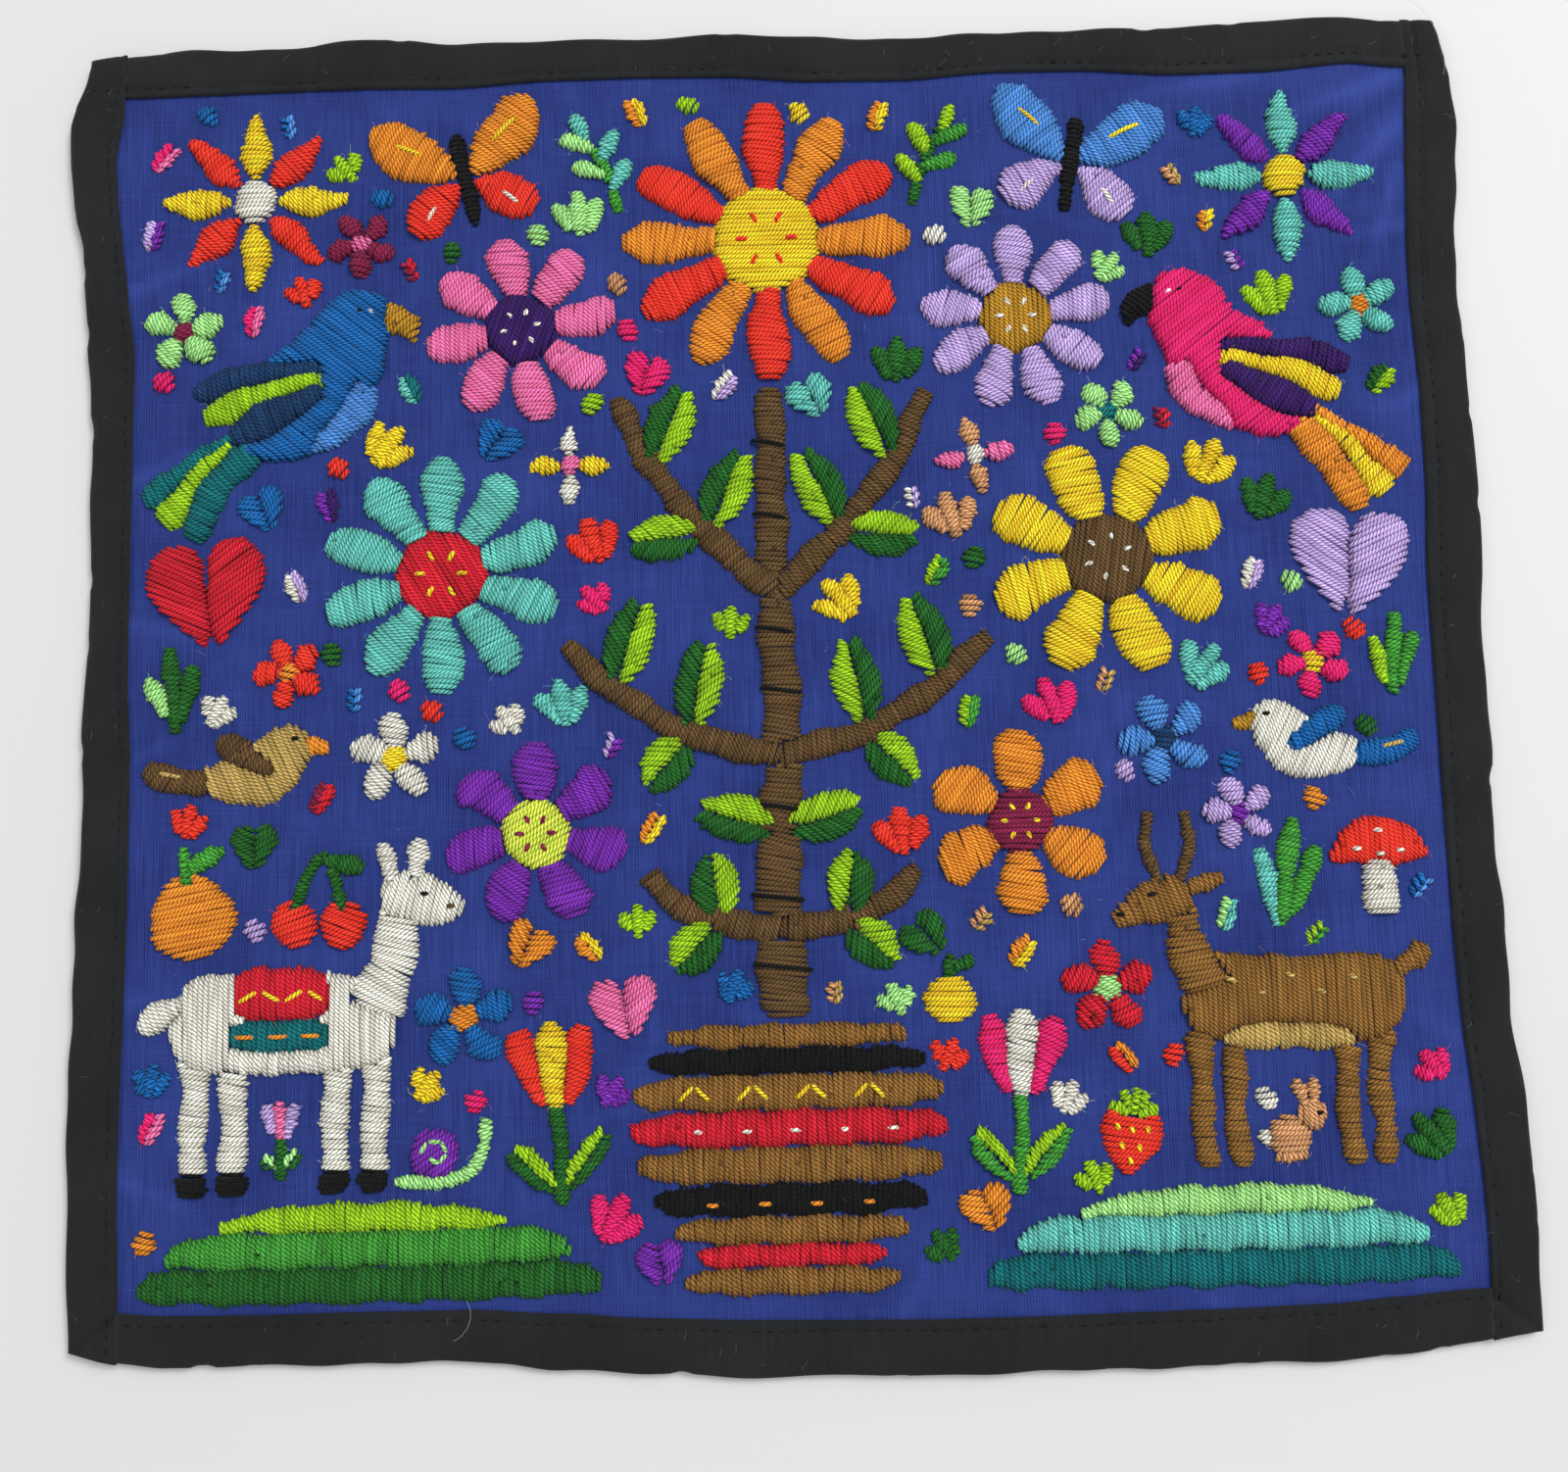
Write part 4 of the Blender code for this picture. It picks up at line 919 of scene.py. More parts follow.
def llama(yarns):
    coat, blanket, stripe, hoof = yarns
    blocks = []
    for x in (-33, -21, 10, 22):
        blocks.append(line([(x, -8, 9), (x, -26, 8), (x - 0.5, -46, 8)], coat))
        blocks.append(area([(x - 5, -50), (x + 4, -50), (x + 4, -43), (x - 5, -43)], hoof, 0))
    trunk = ((-40, -8), (-32, -14), (20, -14), (28, -8), (28, 6), (20, 14), (6, 16), (-20, 17), (-34, 15),
             (-41, 6))
    blocks += [area(trunk, coat, 90), line([(22, 4, 18), (27, 18, 14), (30, 36, 12)], coat)]
    blocks.append(area([(24, 32), (36, 29), (48, 31), (49, 38), (42, 43), (32, 47), (24, 44)], coat))
    blocks += [petal((27, 42), (24, 55), 6, coat), petal((34, 43), (36, 56), 6, coat)]
    blocks.append(petal((-36, 8), (-50, 0), 9, coat))
    blocks.append(area([(-22, 1), (9, 1), (8, 17), (-22, 18)], blanket, 90))
    return blocks + [area([(-23, -8), (9, -8), (9, 2), (-23, 2)], stripe, 90)]


def deer(yarns):
    coat, belly, antler = yarns
    blocks = [line([(x, -8, 8), (x + 1, -26, 6.5), (x, -49, 6.5)], coat) for x in (-32, -22, 12, 22)]
    trunk = ((-40, -6), (-30, -14), (16, -13), (26, -8), (28, 4), (22, 14), (8, 14), (-12, 13), (-32, 14),
             (-40, 8))
    blocks += [area(trunk, coat, 90), area([(-27, -15), (18, -14), (14, -8), (0, -6), (-22, -8)], belly, 90)]
    blocks.append(line([(20, 4, 17), (25, 18, 11), (28, 32, 10)], coat))
    blocks.append(area([(22, 27), (36, 24), (46, 23), (48, 28), (40, 35), (30, 40), (23, 36)], coat))
    blocks += [petal((25, 34), (13, 38), 6, coat), petal((-37, 8), (-49, 14), 8, coat)]
    blocks.append(line([(27, 36, 3), (22, 48, 3), (24, 58, 3)], antler))
    return blocks + [line([(32, 36, 3), (37, 48, 3), (35, 58, 3)], antler)]


def rabbit(yarns):
    fur, tail = yarns
    ears = [petal((14, 8), (4, 50), 14, fur), petal((22, 8), (26, 50), 14, fur)]
    blocks = [disc(-8, -16, 54, fur, tall=0.9)] + ears
    blocks += [disc(20, 8, 34, fur, sides=10, lay=90), disc(-36, -18, 18, tail, sides=8)]
    return blocks + [line([(-24, -38, 12), (-6, -40, 13), (12, -38, 12)], fur)]


def snail(yarns):
    shell, foot = yarns
    stations = ((-46, -34, 8), (-20, -34, 12), (12, -33, 13), (34, -26, 12), (43, -8, 11), (45, 6, 11))
    blocks = [line(stations, foot), line([(45, 2, 8), (45, 14, 8), (47, 26, 8)], foot)]
    return blocks + [disc(-6, -6, 50, shell, lay=35)]


KINDS = {
    "heart": heart, "star": star, "spark": spark, "tulip": tulip, "sprig": sprig, "butterfly": butterfly,
    "small_bird": small_bird, "parrot": parrot, "llama": llama, "deer": deer, "rabbit": rabbit,
    "snail": snail, "strawberry": strawberry, "leafy": leafy, "mushroom": mushroom,
    "cherry": cherry, "fruit": fruit, "pot": pot, "tree": tree, "hill": hill, "tuft": tuft,
}


def blocks_of(kind, yarns):
    """The blocks of a kind, where a daisy's name ends with its number of petals."""
    return daisy(int(kind[5:]), yarns) if kind.startswith("daisy") else KINDS[kind](yarns)


print("kinds", len(KINDS) + 1)

# %% [markdown]
# Small straight stitches over the satin give eyes, seeds, veins and bands. They are worked last with the same
# wool, so they lie on top of the padding. Each row of this table is one stitch in its motif's own units.

# %% Surface stitches
OVER = {
    # kind: from x, y, to x, y, yarn
    "llama": ((36, 39, 38.5, 39, "black"), (44, 35, 46.5, 35, "dark_brown"), (-20, 7, -13, 11, "yellow"),
              (-13, 11, -6, 7, "yellow"), (-6, 7, 1, 11, "yellow"), (1, 11, 7, 7, "yellow"),
              (-21, -3, -14, -3, "orange"), (-11, -3, -4, -3, "orange"), (-1, -3, 6, -3, "orange")),
    "deer": ((34, 33, 36.5, 33, "black"), (44, 27, 46, 27, "black"), (-26, 6, -23, 7, "tan"),
             (-16, 2, -13, 3, "tan"), (-7, 7, -4, 8, "tan"), (2, 2, 5, 3, "tan"), (11, 6, 14, 7, "tan")),
    "parrot": ((31, 35, 33, 34, "white"), (27, 35, 29, 35, "black")),
    "small_bird": ((26, 15, 29, 15, "black"), (-30, -4, -44, -1, "tan")),
    "rabbit": ((24, 10, 30, 10, "black"),),
    "strawberry": ((-18, 8, -15, 3, "yellow"), (-2, 6, 0, 1, "yellow"), (15, 8, 17, 3, "yellow"),
                   (-12, -12, -9, -17, "yellow"), (8, -12, 10, -17, "yellow"), (-1, -27, 1, -32, "yellow")),
    "mushroom": ((-24, 14, -17, 14, "white"), (-4, 30, 3, 30, "white"), (15, 12, 22, 12, "white"),
                 (-3, 9, 4, 9, "white")),
    "butterfly": ((18, 12, 36, 24, "yellow"), (-18, 12, -36, 24, "yellow"), (18, -16, 27, -27, "white"),
                  (-18, -16, -27, -27, "white")),
    "snail": ((-20, -6, -12, 6, "pale_green"), (-12, 6, 2, 6, "pale_green"), (2, 6, 8, -6, "pale_green"),
              (8, -6, 0, -16, "pale_green"), (0, -16, -10, -10, "pale_green")),
}
BARK_LINES = ((-9, -84, 8), (-9, -64, 6), (-7, -38, 6), (-5, -4, 7), (-6, 14, 5), (-6, 48, 4), (-6, 70, 4))
OVER["tree"] = [(start, y, stop, y - 2, "black") for start, y, stop in BARK_LINES]
OVER["pot"] = []
for x in (-34, -16, 2, 20):
    OVER["pot"] += [(x, 17, x + 5, 22, "yellow"), (x + 5, 22, x + 10, 17, "yellow")]
OVER["pot"] += [(x, 8, x + 4, 8, "white") for x in range(-30, 31, 15)]
OVER["pot"] += [(x, -14, x + 4, -14, "orange") for x in range(-26, 23, 16)]
SEEDS = {"daisy12": "red", "daisy10": "yellow", "daisy9": "white", "daisy8": "white", "daisy7": "wine",
         "daisy6": "yellow"}
for kind, yarn in SEEDS.items():
    turns = [2 * math.pi * k / 6 for k in range(6)]
    OVER[kind] = [(6 * math.cos(a), 6 * math.sin(a), 11 * math.cos(a), 11 * math.sin(a), yarn) for a in turns]
print("surface stitches", sum(len(rows) for rows in OVER.values()))

# %% [markdown]
# Before a block can be stitched, its outline has to be known on the cloth. Corners are cut, because wool
# can't turn a sharp one, and a line block gets its two sides from its spine and its width. The limits are in
# millimetres: PITCH is the distance from one thread to the next, and no line is narrower than NARROWEST.

# %% Block outlines
PITCH = 1.43
NARROWEST = 2.8


def to_cloth(x, y, motif):
    """Motif units to millimetres on the cloth."""
    _, _, mx, my, size, turn, mirror, _ = motif
    c, s, k = math.cos(math.radians(turn)), math.sin(math.radians(turn)), size / 100
    x = np.asarray(x, float) * mirror
    y = np.asarray(y, float)
    return mx + k * (x * c - y * s), my + k * (x * s + y * c)


def softened(points, cut=0.2):
    """The closed outline with its corners cut twice, as thread can't turn a sharp corner."""
    points = np.asarray(points, float)
    for _ in range(2):
        after = np.roll(points, -1, axis=0)
        nearer, further = points * (1 - cut) + after * cut, points * cut + after * (1 - cut)
        points = np.stack([nearer, further], axis=1).reshape(-1, 2)
    return points


def spine_of(block, motif):
    """Centre, half width and length along a line block, sampled every 0.25 mm."""
    stations = np.array(block[1], float)
    x, y = to_cloth(stations[:, 0], stations[:, 1], motif)
    half = np.maximum(stations[:, 2] * motif[4] / 100, NARROWEST) / 2
    run = np.concatenate([[0], np.cumsum(np.hypot(np.diff(x), np.diff(y)))])
    t = np.linspace(0, run[-1], max(8, int(run[-1] / 0.25)))
    kernel = np.hanning(2 * max(2, int(0.18 * len(t))) + 1)[1:-1]
    pad = len(kernel) // 2
    blur = [np.convolve(np.pad(np.interp(t, run, column), pad, mode="edge"), kernel / kernel.sum(), "valid")
            for column in (x, y, half)]
    keep = np.minimum(t, t[-1] - t) / t[-1]
    weight = np.clip(keep / 0.15, 0, 1)
    x, y = (np.interp(t, run, sharp) * (1 - weight) + soft * weight for sharp, soft in zip((x, y), blur[:2]))
    return t, x, y, blur[2]


def outline_of(block, motif):
    """Outline of a block on the cloth."""
    if block[0] == "area":
        points = np.array(block[1], float)
        return softened(np.stack(to_cloth(points[:, 0], points[:, 1], motif), axis=1))
    _, x, y, half = spine_of(block, motif)
    dx, dy = np.gradient(x), np.gradient(y)
    long = np.hypot(dx, dy)
    side_x, side_y = -dy / long * half, dx / long * half
    out, home = np.stack([x + side_x, y + side_y], 1), np.stack([x - side_x, y - side_y], 1)
    return np.concatenate([out, home[::-1]])[::3]


def within(x, y, outline):
    """Whether each place is inside the outline."""
    inside = np.zeros(x.shape, bool)
    for (ax, ay), (bx, by) in zip(outline, np.roll(outline, -1, axis=0)):
        if ay == by:
            continue
        crosses = (ay > y) != (by > y)
        inside ^= crosses & (x < (bx - ax) * (y - ay) / (by - ay) + ax)
    return inside


def grown(outline, out):
    """The outline moved outwards from its middle line by a distance, or inwards if negative."""
    before, after = np.roll(outline, 1, axis=0), np.roll(outline, -1, axis=0)
    along_x, along_y = (after - before).T
    long = np.maximum(np.hypot(along_x, along_y), 1e-6)
    twice = np.sum(outline[:, 0] * after[:, 1] - after[:, 0] * outline[:, 1])
    hand = 1 if twice > 0 else -1
    return outline + out * hand * np.stack([along_y / long, -along_x / long], axis=1)


print("distance between threads in mm", PITCH)

# %% [markdown]
# Satin stitch fills a block with threads laid side by side. Along a line they run across it, and over an area
# they follow one direction, cut by the outline. A needleworker splits a wide area into shorter columns, as a
# long thread would snag. The hand is never exact, so each end strays a little and the edge sways slowly.

# %% Lay the threads
LONGEST = 36.0
SHORTEST = 1.6


def line_threads(block, motif):
    """Rows of ax, ay, bx, by, distance from the block's nearer end."""
    t, x, y, half = spine_of(block, motif)
    dx, dy = np.gradient(x), np.gradient(y)
    long = np.hypot(dx, dy)
    first = 0.35 * PITCH
    count = max(2, int(round((t[-1] - 2 * first) / PITCH)) + 1)
    at = np.linspace(first, t[-1] - first, count)
    at = at + rng.normal(0, 0.04, count)
    slant = np.radians(6 + 5 * np.sin(at / 6) + rng.normal(0, 1.5, count))
    phase = rng.uniform(0, 6.3, 2)
    rows = []
    for place, lean in zip(at, slant):
        cx, cy, w, tx, ty = (np.interp(place, t, column) for column in (x, y, half, dx / long, dy / long))
        fromend = min(place, t[-1] - place)
        sway = min(0.4, 0.13 * w)
        cx, cy = (c + sway * math.sin(place / 3.9 + phase[0]) * side for c, side in ((cx, -ty), (cy, tx)))
        w = w * (1 - 0.28 * math.exp(-((fromend / 1.3) ** 2))) + rng.normal(0, 0.22)
        w += sway * math.sin(place / 2.6 + phase[1])
        nx, ny = -ty * math.cos(lean) + tx * math.sin(lean), tx * math.cos(lean) + ty * math.sin(lean)
        rows.append((cx - nx * w, cy - ny * w, cx + nx * w, cy + ny * w, fromend))
    return rows


def area_threads(block, motif):
    """Rows like those of line_threads, cut where each line of the stitch direction meets the outline."""
    outline = outline_of(block, motif)
    lay = block[3]
    if lay is None:
        spread = np.cov((outline - outline.mean(axis=0)).T)
        dx, dy = np.linalg.eigh(spread)[1][:, 0]
    else:
        ax, ay = to_cloth(0, 0, motif)
        bx, by = to_cloth(math.cos(math.radians(lay)), math.sin(math.radians(lay)), motif)
        long = math.hypot(bx - ax, by - ay)
        dx, dy = (bx - ax) / long, (by - ay) / long
    p, q = outline[:, 0] * dx + outline[:, 1] * dy, -outline[:, 0] * dy + outline[:, 1] * dx
    low, high = q.min() + 0.4 * PITCH, q.max() - 0.4 * PITCH
    count = max(2, int(round((high - low) / PITCH)) + 1)
    phase = rng.uniform(0, 6.3, 3)
    rows = []
    for level in np.linspace(low, high, count):
        sway = 0.42 * np.sin(level / 2.8 + phase)
        q2, p2 = np.roll(q, -1), np.roll(p, -1)
        hit = (q > level) != (q2 > level)
        ends = np.sort((p + (level - q) / np.where(q2 == q, 1e-9, q2 - q) * (p2 - p))[hit])
        for a, b in zip(ends[::2], ends[1::2]):
            if b - a < SHORTEST:
                continue
            a, b = a + sway[0], b + sway[1]
            parts = int(math.ceil((b - a) / LONGEST))
            splits = np.linspace(a, b, parts + 1)
            splits[1:-1] += rng.normal(0, 0.6, parts - 1)
            for s, e in zip(splits[:-1], splits[1:]):
                s, e = s + rng.normal(0, 0.28), e + rng.normal(0, 0.28)
                l0, l1 = level + np.array([1, -1]) * 0.6 * sway[2] + rng.normal(0, 0.06, 2)
                fromend = min(level - q.min(), q.max() - level)
                rows.append((s * dx - l0 * dy, s * dy + l0 * dx, e * dx - l1 * dy, e * dy + l1 * dx, fromend))
    return rows


print("longest stitch in mm", LONGEST)

# %% [markdown]
# Threads that a later block covers are taken away, since nobody stitches there twice. Every block lies at one
# of five levels LAYER apart, so that neighbours part clearly. A cover works from COVER_INSET inside its edge,
# and what a cut leaves of a thread has to be longer than SHORTEST_CUT.

# %% Take away the covered threads
SHORTEST_CUT = 1.8
COVER_INSET = 0.45
LAYER = 0.13


def clear_of(rows, covers):
    """Cut the threads where the covers lie over them."""
    if not covers:
        return rows
    kept = []
    for ax, ay, bx, by, fromend in rows:
        long = math.hypot(bx - ax, by - ay)
        t = np.linspace(0, 1, max(4, int(long / 0.35)))
        x, y = ax + (bx - ax) * t, ay + (by - ay) * t
        free = np.ones(len(t), bool)
        for cover, (x0, y0, x1, y1) in covers:
            if min(ax, bx) < x1 and max(ax, bx) > x0 and min(ay, by) < y1 and max(ay, by) > y0:
                free &= ~within(x, y, cover)
        if free.all():
            kept.append((ax, ay, bx, by, fromend))
            continue
        steps = np.flatnonzero(np.diff(np.concatenate([[0], free.astype(int), [0]])))
        for s, e in zip(steps[::2], steps[1::2]):
            if (e - s) / len(t) * long > SHORTEST_CUT:
                a, b = t[s], t[e - 1]
                dx, dy = bx - ax, by - ay
                kept.append((ax + dx * a, ay + dy * a, ax + dx * b, ay + dy * b, fromend))
    return kept


def threads_of(motif):
    """All threads of a motif: array of ends and distance from the block's end, and the yarn of each."""
    blocks = blocks_of(motif[1], motif[7])
    outlines = [outline_of(block, motif) for block in blocks]
    covers = [(grown(o, -COVER_INSET), (*o.min(axis=0), *o.max(axis=0))) for o in outlines]
    rows, yarns, levels = [], [], []
    for index, block in enumerate(blocks):
        laid = line_threads(block, motif) if block[0] == "line" else area_threads(block, motif)
        laid = clear_of(laid, covers[index + 1:])
        rows += laid
        yarns += [block[2]] * len(laid)
        levels += [LAYER * ((3 * index) % 5)] * len(laid)
    return np.array(rows), yarns, np.array(levels), outlines


laid = {motif[0]: threads_of(motif) for motif in MOTIFS}
print("threads", sum(len(rows) for rows, _, _, _ in laid.values()))

# %% [markdown]
# Each thread is a half tube of wool. It rises from the ground in a steep shoulder, runs over the padding and
# dives again, and the first and last threads of a block lie lower, so a block looks plump from every side.
# All threads of a motif go into one mesh. Numbers along and around the thread are kept as a UV map, because
# the twist of the yarn is drawn from them. A thread starts ROOTED mm below the face of the ground, so its
# foot never shows, and is at full height SHOULDER mm in from its end.

# %% Build the threads
ROOTED = 0.45
FOOT = GROUND_TOP - ROOTED
THREAD = 0.76
AROUND = np.radians(np.linspace(-26, 206, 6))
SHOULDER = 4.6
END_SHOULDER = 2.3
STATION_GAP = 3.2


def rise(distance, width):
    """Height fraction of the padding at a distance in from its border."""
    near = np.clip(1 - distance / width, 0, 1)
    return np.sqrt(1 - near**2.2)


def tube_quads(count, stations, ring):
    """Corner numbers for many tubes of the same numbers of stations and of points round each."""
    one = (np.arange(stations - 1)[:, None] * ring + np.arange(ring - 1)[None, :]).ravel()
    quads = np.stack([one, one + ring, one + ring + 1, one + 1], axis=1)
    return (quads[None] + (np.arange(count) * stations * ring)[:, None, None]).reshape(-1, 4)


def tubes(rows, crown, radius, seed):
    """Points, quads, uv and depth of thread rows of about the same length, with each thread's counts."""
    pick = np.random.default_rng(seed)
    ax, ay, bx, by, fromend = rows.T
    n = len(rows)
    long = np.hypot(bx - ax, by - ay)
    half = np.minimum(long / 2, SHOULDER)
    middle = max(2, int(round(float(long.mean()) / STATION_GAP)))
    entry = np.array([0.0, 0.12, 0.42])[None, :] * half[:, None]
    inside = half[:, None] + (long - 2 * half)[:, None] * np.linspace(0, 1, middle)[None, :]
    d = np.concatenate([entry, inside, long[:, None] - entry[:, ::-1]], axis=1)
    stations = d.shape[1]
    t = d / long[:, None]
    tall = rise(np.minimum(d, long[:, None] - d), half[:, None])
    block_end = rise(fromend + 0.15, np.full(n, END_SHOULDER))
    height = (crown + pick.normal(0, 0.05, n)) * block_end
    wave = pick.normal(0, 0.03, (n, stations))
    z = FOOT + (height[:, None] + ROOTED - radius) * tall + wave * (tall > 0.7)
    nx, ny = -(by - ay) / long, (bx - ax) / long
    bow = pick.normal(0, 0.07, n)[:, None] * np.sin(math.pi * t) + pick.normal(0, 0.03, (n, stations))
    x = ax[:, None] + (bx - ax)[:, None] * t + nx[:, None] * bow
    y = ay[:, None] + (by - ay)[:, None] * t + ny[:, None] * bow
    z = z + lift(x.ravel(), y.ravel()).reshape(x.shape)
    run = np.gradient(d, axis=1)
    steep = np.arctan2(np.gradient(z, axis=1), np.maximum(run, 1e-3))
    fat = radius * (0.62 + 0.38 * np.clip(tall / 0.6, 0, 1)) * pick.normal(1, 0.03, n)[:, None]
    c, s = np.cos(AROUND), np.sin(AROUND)
    dirx, diry = (bx - ax) / long, (by - ay) / long
    out = fat[:, :, None] * c[None, None, :] * 1.04
    up_part = fat[:, :, None] * s[None, None, :]
    sink = np.sin(steep)[:, :, None] * up_part
    px = x[:, :, None] + nx[:, None, None] * out - dirx[:, None, None] * sink
    py = y[:, :, None] + ny[:, None, None] * out - diry[:, None, None] * sink
    pz = z[:, :, None] + np.cos(steep)[:, :, None] * up_part
    points = np.stack([px, py, pz], axis=-1).reshape(-1, 3)
    u = d + pick.uniform(0, 50, n)[:, None]
    along_and_round = np.broadcast_arrays(u[:, :, None], (AROUND * radius)[None, None, :])
    uv = np.stack(along_and_round, axis=-1).reshape(-1, 2)
    ring = len(AROUND)
    quads = tube_quads(n, stations, ring)
    # How low each point of a thread lies; the wool paints it as shade, darkest where a thread dives to its
    # ends.
    deep = np.repeat((1 - tall * block_end[:, None]).ravel(), ring)
    return points, quads, uv, deep, stations * ring, (stations - 1) * (ring - 1)


def thread_mesh(name, rows, yarns, crowns, radius=THREAD, seed=1):
    """One mesh of all the threads, with a material for each yarn."""
    pick = np.random.default_rng(seed)
    long = np.hypot(rows[:, 2] - rows[:, 0], rows[:, 3] - rows[:, 1])
    sizes = np.digitize(long, (3.5, 6, 9, 13, 18))
    slots = list(dict.fromkeys(yarns))
    slot_of = np.array([slots.index(yarn) for yarn in yarns])
    points, quads, uvs, depths, tints, slot = [], [], [], [], [], []
    start = 0
    for size in np.unique(sizes):
        chosen = sizes == size
        p, q, uv, deep, each, faces = tubes(rows[chosen], crowns[chosen], radius, seed + int(size))
        points.append(p)
        quads.append(q + start)
        uvs.append(uv)
        depths.append(deep)
        tints.append(np.repeat(pick.normal(0.5, 0.2, chosen.sum()), each))
        slot.append(np.repeat(slot_of[chosen], faces))
        start += len(p)
    quads = np.concatenate(quads)
    mesh = mesh_from(name, np.concatenate(points), quads)
    layer = mesh.uv_layers.new(name="yarn")
    layer.data.foreach_set("uv", np.concatenate(uvs)[quads.ravel()].astype(np.float32).ravel())
    for label, values in (("tint", tints), ("deep", depths)):
        numbers = mesh.attributes.new(label, "FLOAT", "POINT")
        numbers.data.foreach_set("value", np.concatenate(values).astype(np.float32))
    for yarn in slots:
        mesh.materials.append(WOOL[yarn])
    mesh.polygons.foreach_set("material_index", np.concatenate(slot).astype(np.int32))
    mesh.update()
    return mesh


print("shoulder at 0.5 mm rises", round(float(rise(np.array(0.5), np.array(3.0))), 2))

# %% [markdown]
# The wool is two plies twisted together, so slanting marks about a millimetre apart run round each thread.
# A sine wave of the place along plus the place around draws them as bump and as a line of painted shade. The
# sides of a thread lie in the groove beside its neighbour, so painted shade darkens them, and fine noise
# gives loose fibres.

# %% Wool materials
TWIST = 1.18
PLY_SLOPE = 0.95
PLY_SHADE = 0.80
GROOVE_SHADE = 0.30
DEEP_SHADE = 0.6


def wool(name, colour):
    n = Nodes("yarn_" + name)
    along_thread, around_thread, _ = n.split(n.uv("yarn"))
    tint = n.attribute("tint")
    off_top = n.math("SUBTRACT", around_thread, THREAD * math.pi / 2)
    across = n.math("ABSOLUTE", off_top)
    slanted = n.math("MULTIPLY_ADD", off_top, PLY_SLOPE, along_thread)
    ply = n.math("ABSOLUTE", n.math("SINE", n.math("MULTIPLY", slanted, math.pi / TWIST)))
    cord = n.math("POWER", ply, 0.75)
    strand = n.math("MULTIPLY", tint, 7.0)
    fibre = n.join(n.math("MULTIPLY", slanted, 4.5), n.math("MULTIPLY", off_top, 1.1), strand)
    hair = n.noise(fibre, 1.0, 3.0, 0.65)
    patch = n.noise(n.join(n.math("MULTIPLY", along_thread, 0.1), strand), 1.0, 1.0)
    loose = n.math("SUBTRACT", n.math("ADD", hair, patch), 1.0)
    level = n.math("MULTIPLY_ADD", n.math("SUBTRACT", tint, 0.5), 0.45, n.math("MULTIPLY", loose, 0.9))
    light = [min(255, c * 1.10 + 10) for c in colour]
    dark = [c * 0.86 for c in colour]
    body = n.mix(n.ramp(level, -0.35, 0.35), linear(dark), linear(light))
    # Painted shade on each thread's sides, in the groove beside its neighbour.
    groove = n.math("MULTIPLY", n.ramp(across, 0.55, 1.3), GROOVE_SHADE)
    # Painted shade along the lines between the plies.
    shade = n.math("MULTIPLY_ADD", n.math("SUBTRACT", 1.0, cord), PLY_SHADE, groove)
    # Painted shade where the threads dive low, at their ends and along a block's edges.
    shade = n.math("MULTIPLY_ADD", n.attribute("deep"), DEEP_SHADE, shade)
    # The summed painted shade mixes the yarn towards a darker copy of its colour.
    body = n.mix(n.math("MINIMUM", shade, 0.85), body, linear([c * 0.42 for c in colour]))
    height = n.math("MULTIPLY_ADD", hair, 0.35, cord)
    rough = n.math("MULTIPLY_ADD", hair, 0.25, 0.7)
    return n.finish(body, rough, n.bump(height, 1.0, 0.0004), 0.03)


WOOL = {name: wool(name, colour) for name, colour in YARN.items()}
print("wools", len(WOOL))

# %% [markdown]
# One object is made for each motif, and it stands in for the plain solid of the same name. The stitches over
# the satin are a second object on it, in a slightly finer thread that lies higher than the padding.

# %% Stitch the motifs
PAD_HIGH = 1.9
OVER_HIGH = 0.85
OVER_THREAD = 0.62
FAR_IN = 9.0


def crowns_of(rows, levels):
    """Height of each thread over the ground: a short one can't stand as high as a long one."""
    long = np.hypot(rows[:, 2] - rows[:, 0], rows[:, 3] - rows[:, 1])
    return (PAD_HIGH + levels) * np.clip(0.62 + long / 18, 0.7, 1.0)


def surface_rows(over, motif):
    """Thread rows of the stitches over a motif, with the shortest drawn out a little."""
    ax, ay = to_cloth([row[0] for row in over], [row[1] for row in over], motif)
    bx, by = to_cloth([row[2] for row in over], [row[3] for row in over], motif)
    long = np.maximum(np.hypot(bx - ax, by - ay), 0.1)
    grow = np.clip((1.7 - long) / 2, 0, 1)
    ux, uy = (bx - ax) / long, (by - ay) / long
    far_in = np.full(len(over), FAR_IN)
    return np.stack([ax - ux * grow, ay - uy * grow, bx + ux * grow, by + uy * grow, far_in], axis=1)


triangles = 0
for number, motif in enumerate(MOTIFS):
    name = motif[0]
    rows, yarns, levels, _ = laid[name]
    mesh = thread_mesh(name + "_threads", rows, yarns, crowns_of(rows, levels), seed=100 + 7 * number)
    obj = new_object(name + "_threads", mesh)
    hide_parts(name)
    triangles += 2 * len(mesh.polygons)
    over = OVER.get(motif[1], ())
    if over:
        high = np.full(len(over), PAD_HIGH + OVER_HIGH)
        yarns = [row[4] for row in over]
        mesh = thread_mesh(name + "_over", surface_rows(over, motif), yarns, high, OVER_THREAD, 900 + number)
        new_object(name + "_surface_stitches", mesh)
        triangles += 2 * len(mesh.polygons)
print("motifs stitched", len(MOTIFS), "triangles", triangles)

# %% [markdown]
# The maker leaves little ground bare, so small dots, leaflets, tufts and hearts fill the gaps. A grid
# over the ground marks what is taken, seeded tries drop the largest fillers first, and each one placed marks
# its own room as taken. They use the same blocks and threads as the motifs.

# %% Fill the gaps
CELL = 1.6
ROOM = 2.0
RIM_CLEAR = 3.4
FLAT_ENOUGH = 0.35


def leaflets(yarns):
    return leaf((0, -46), (0, 48), 44, yarns[0], yarns[-1])


def dot(yarns):
    return [disc(0, 0, 82, yarns[0], sides=10, lay=25)]


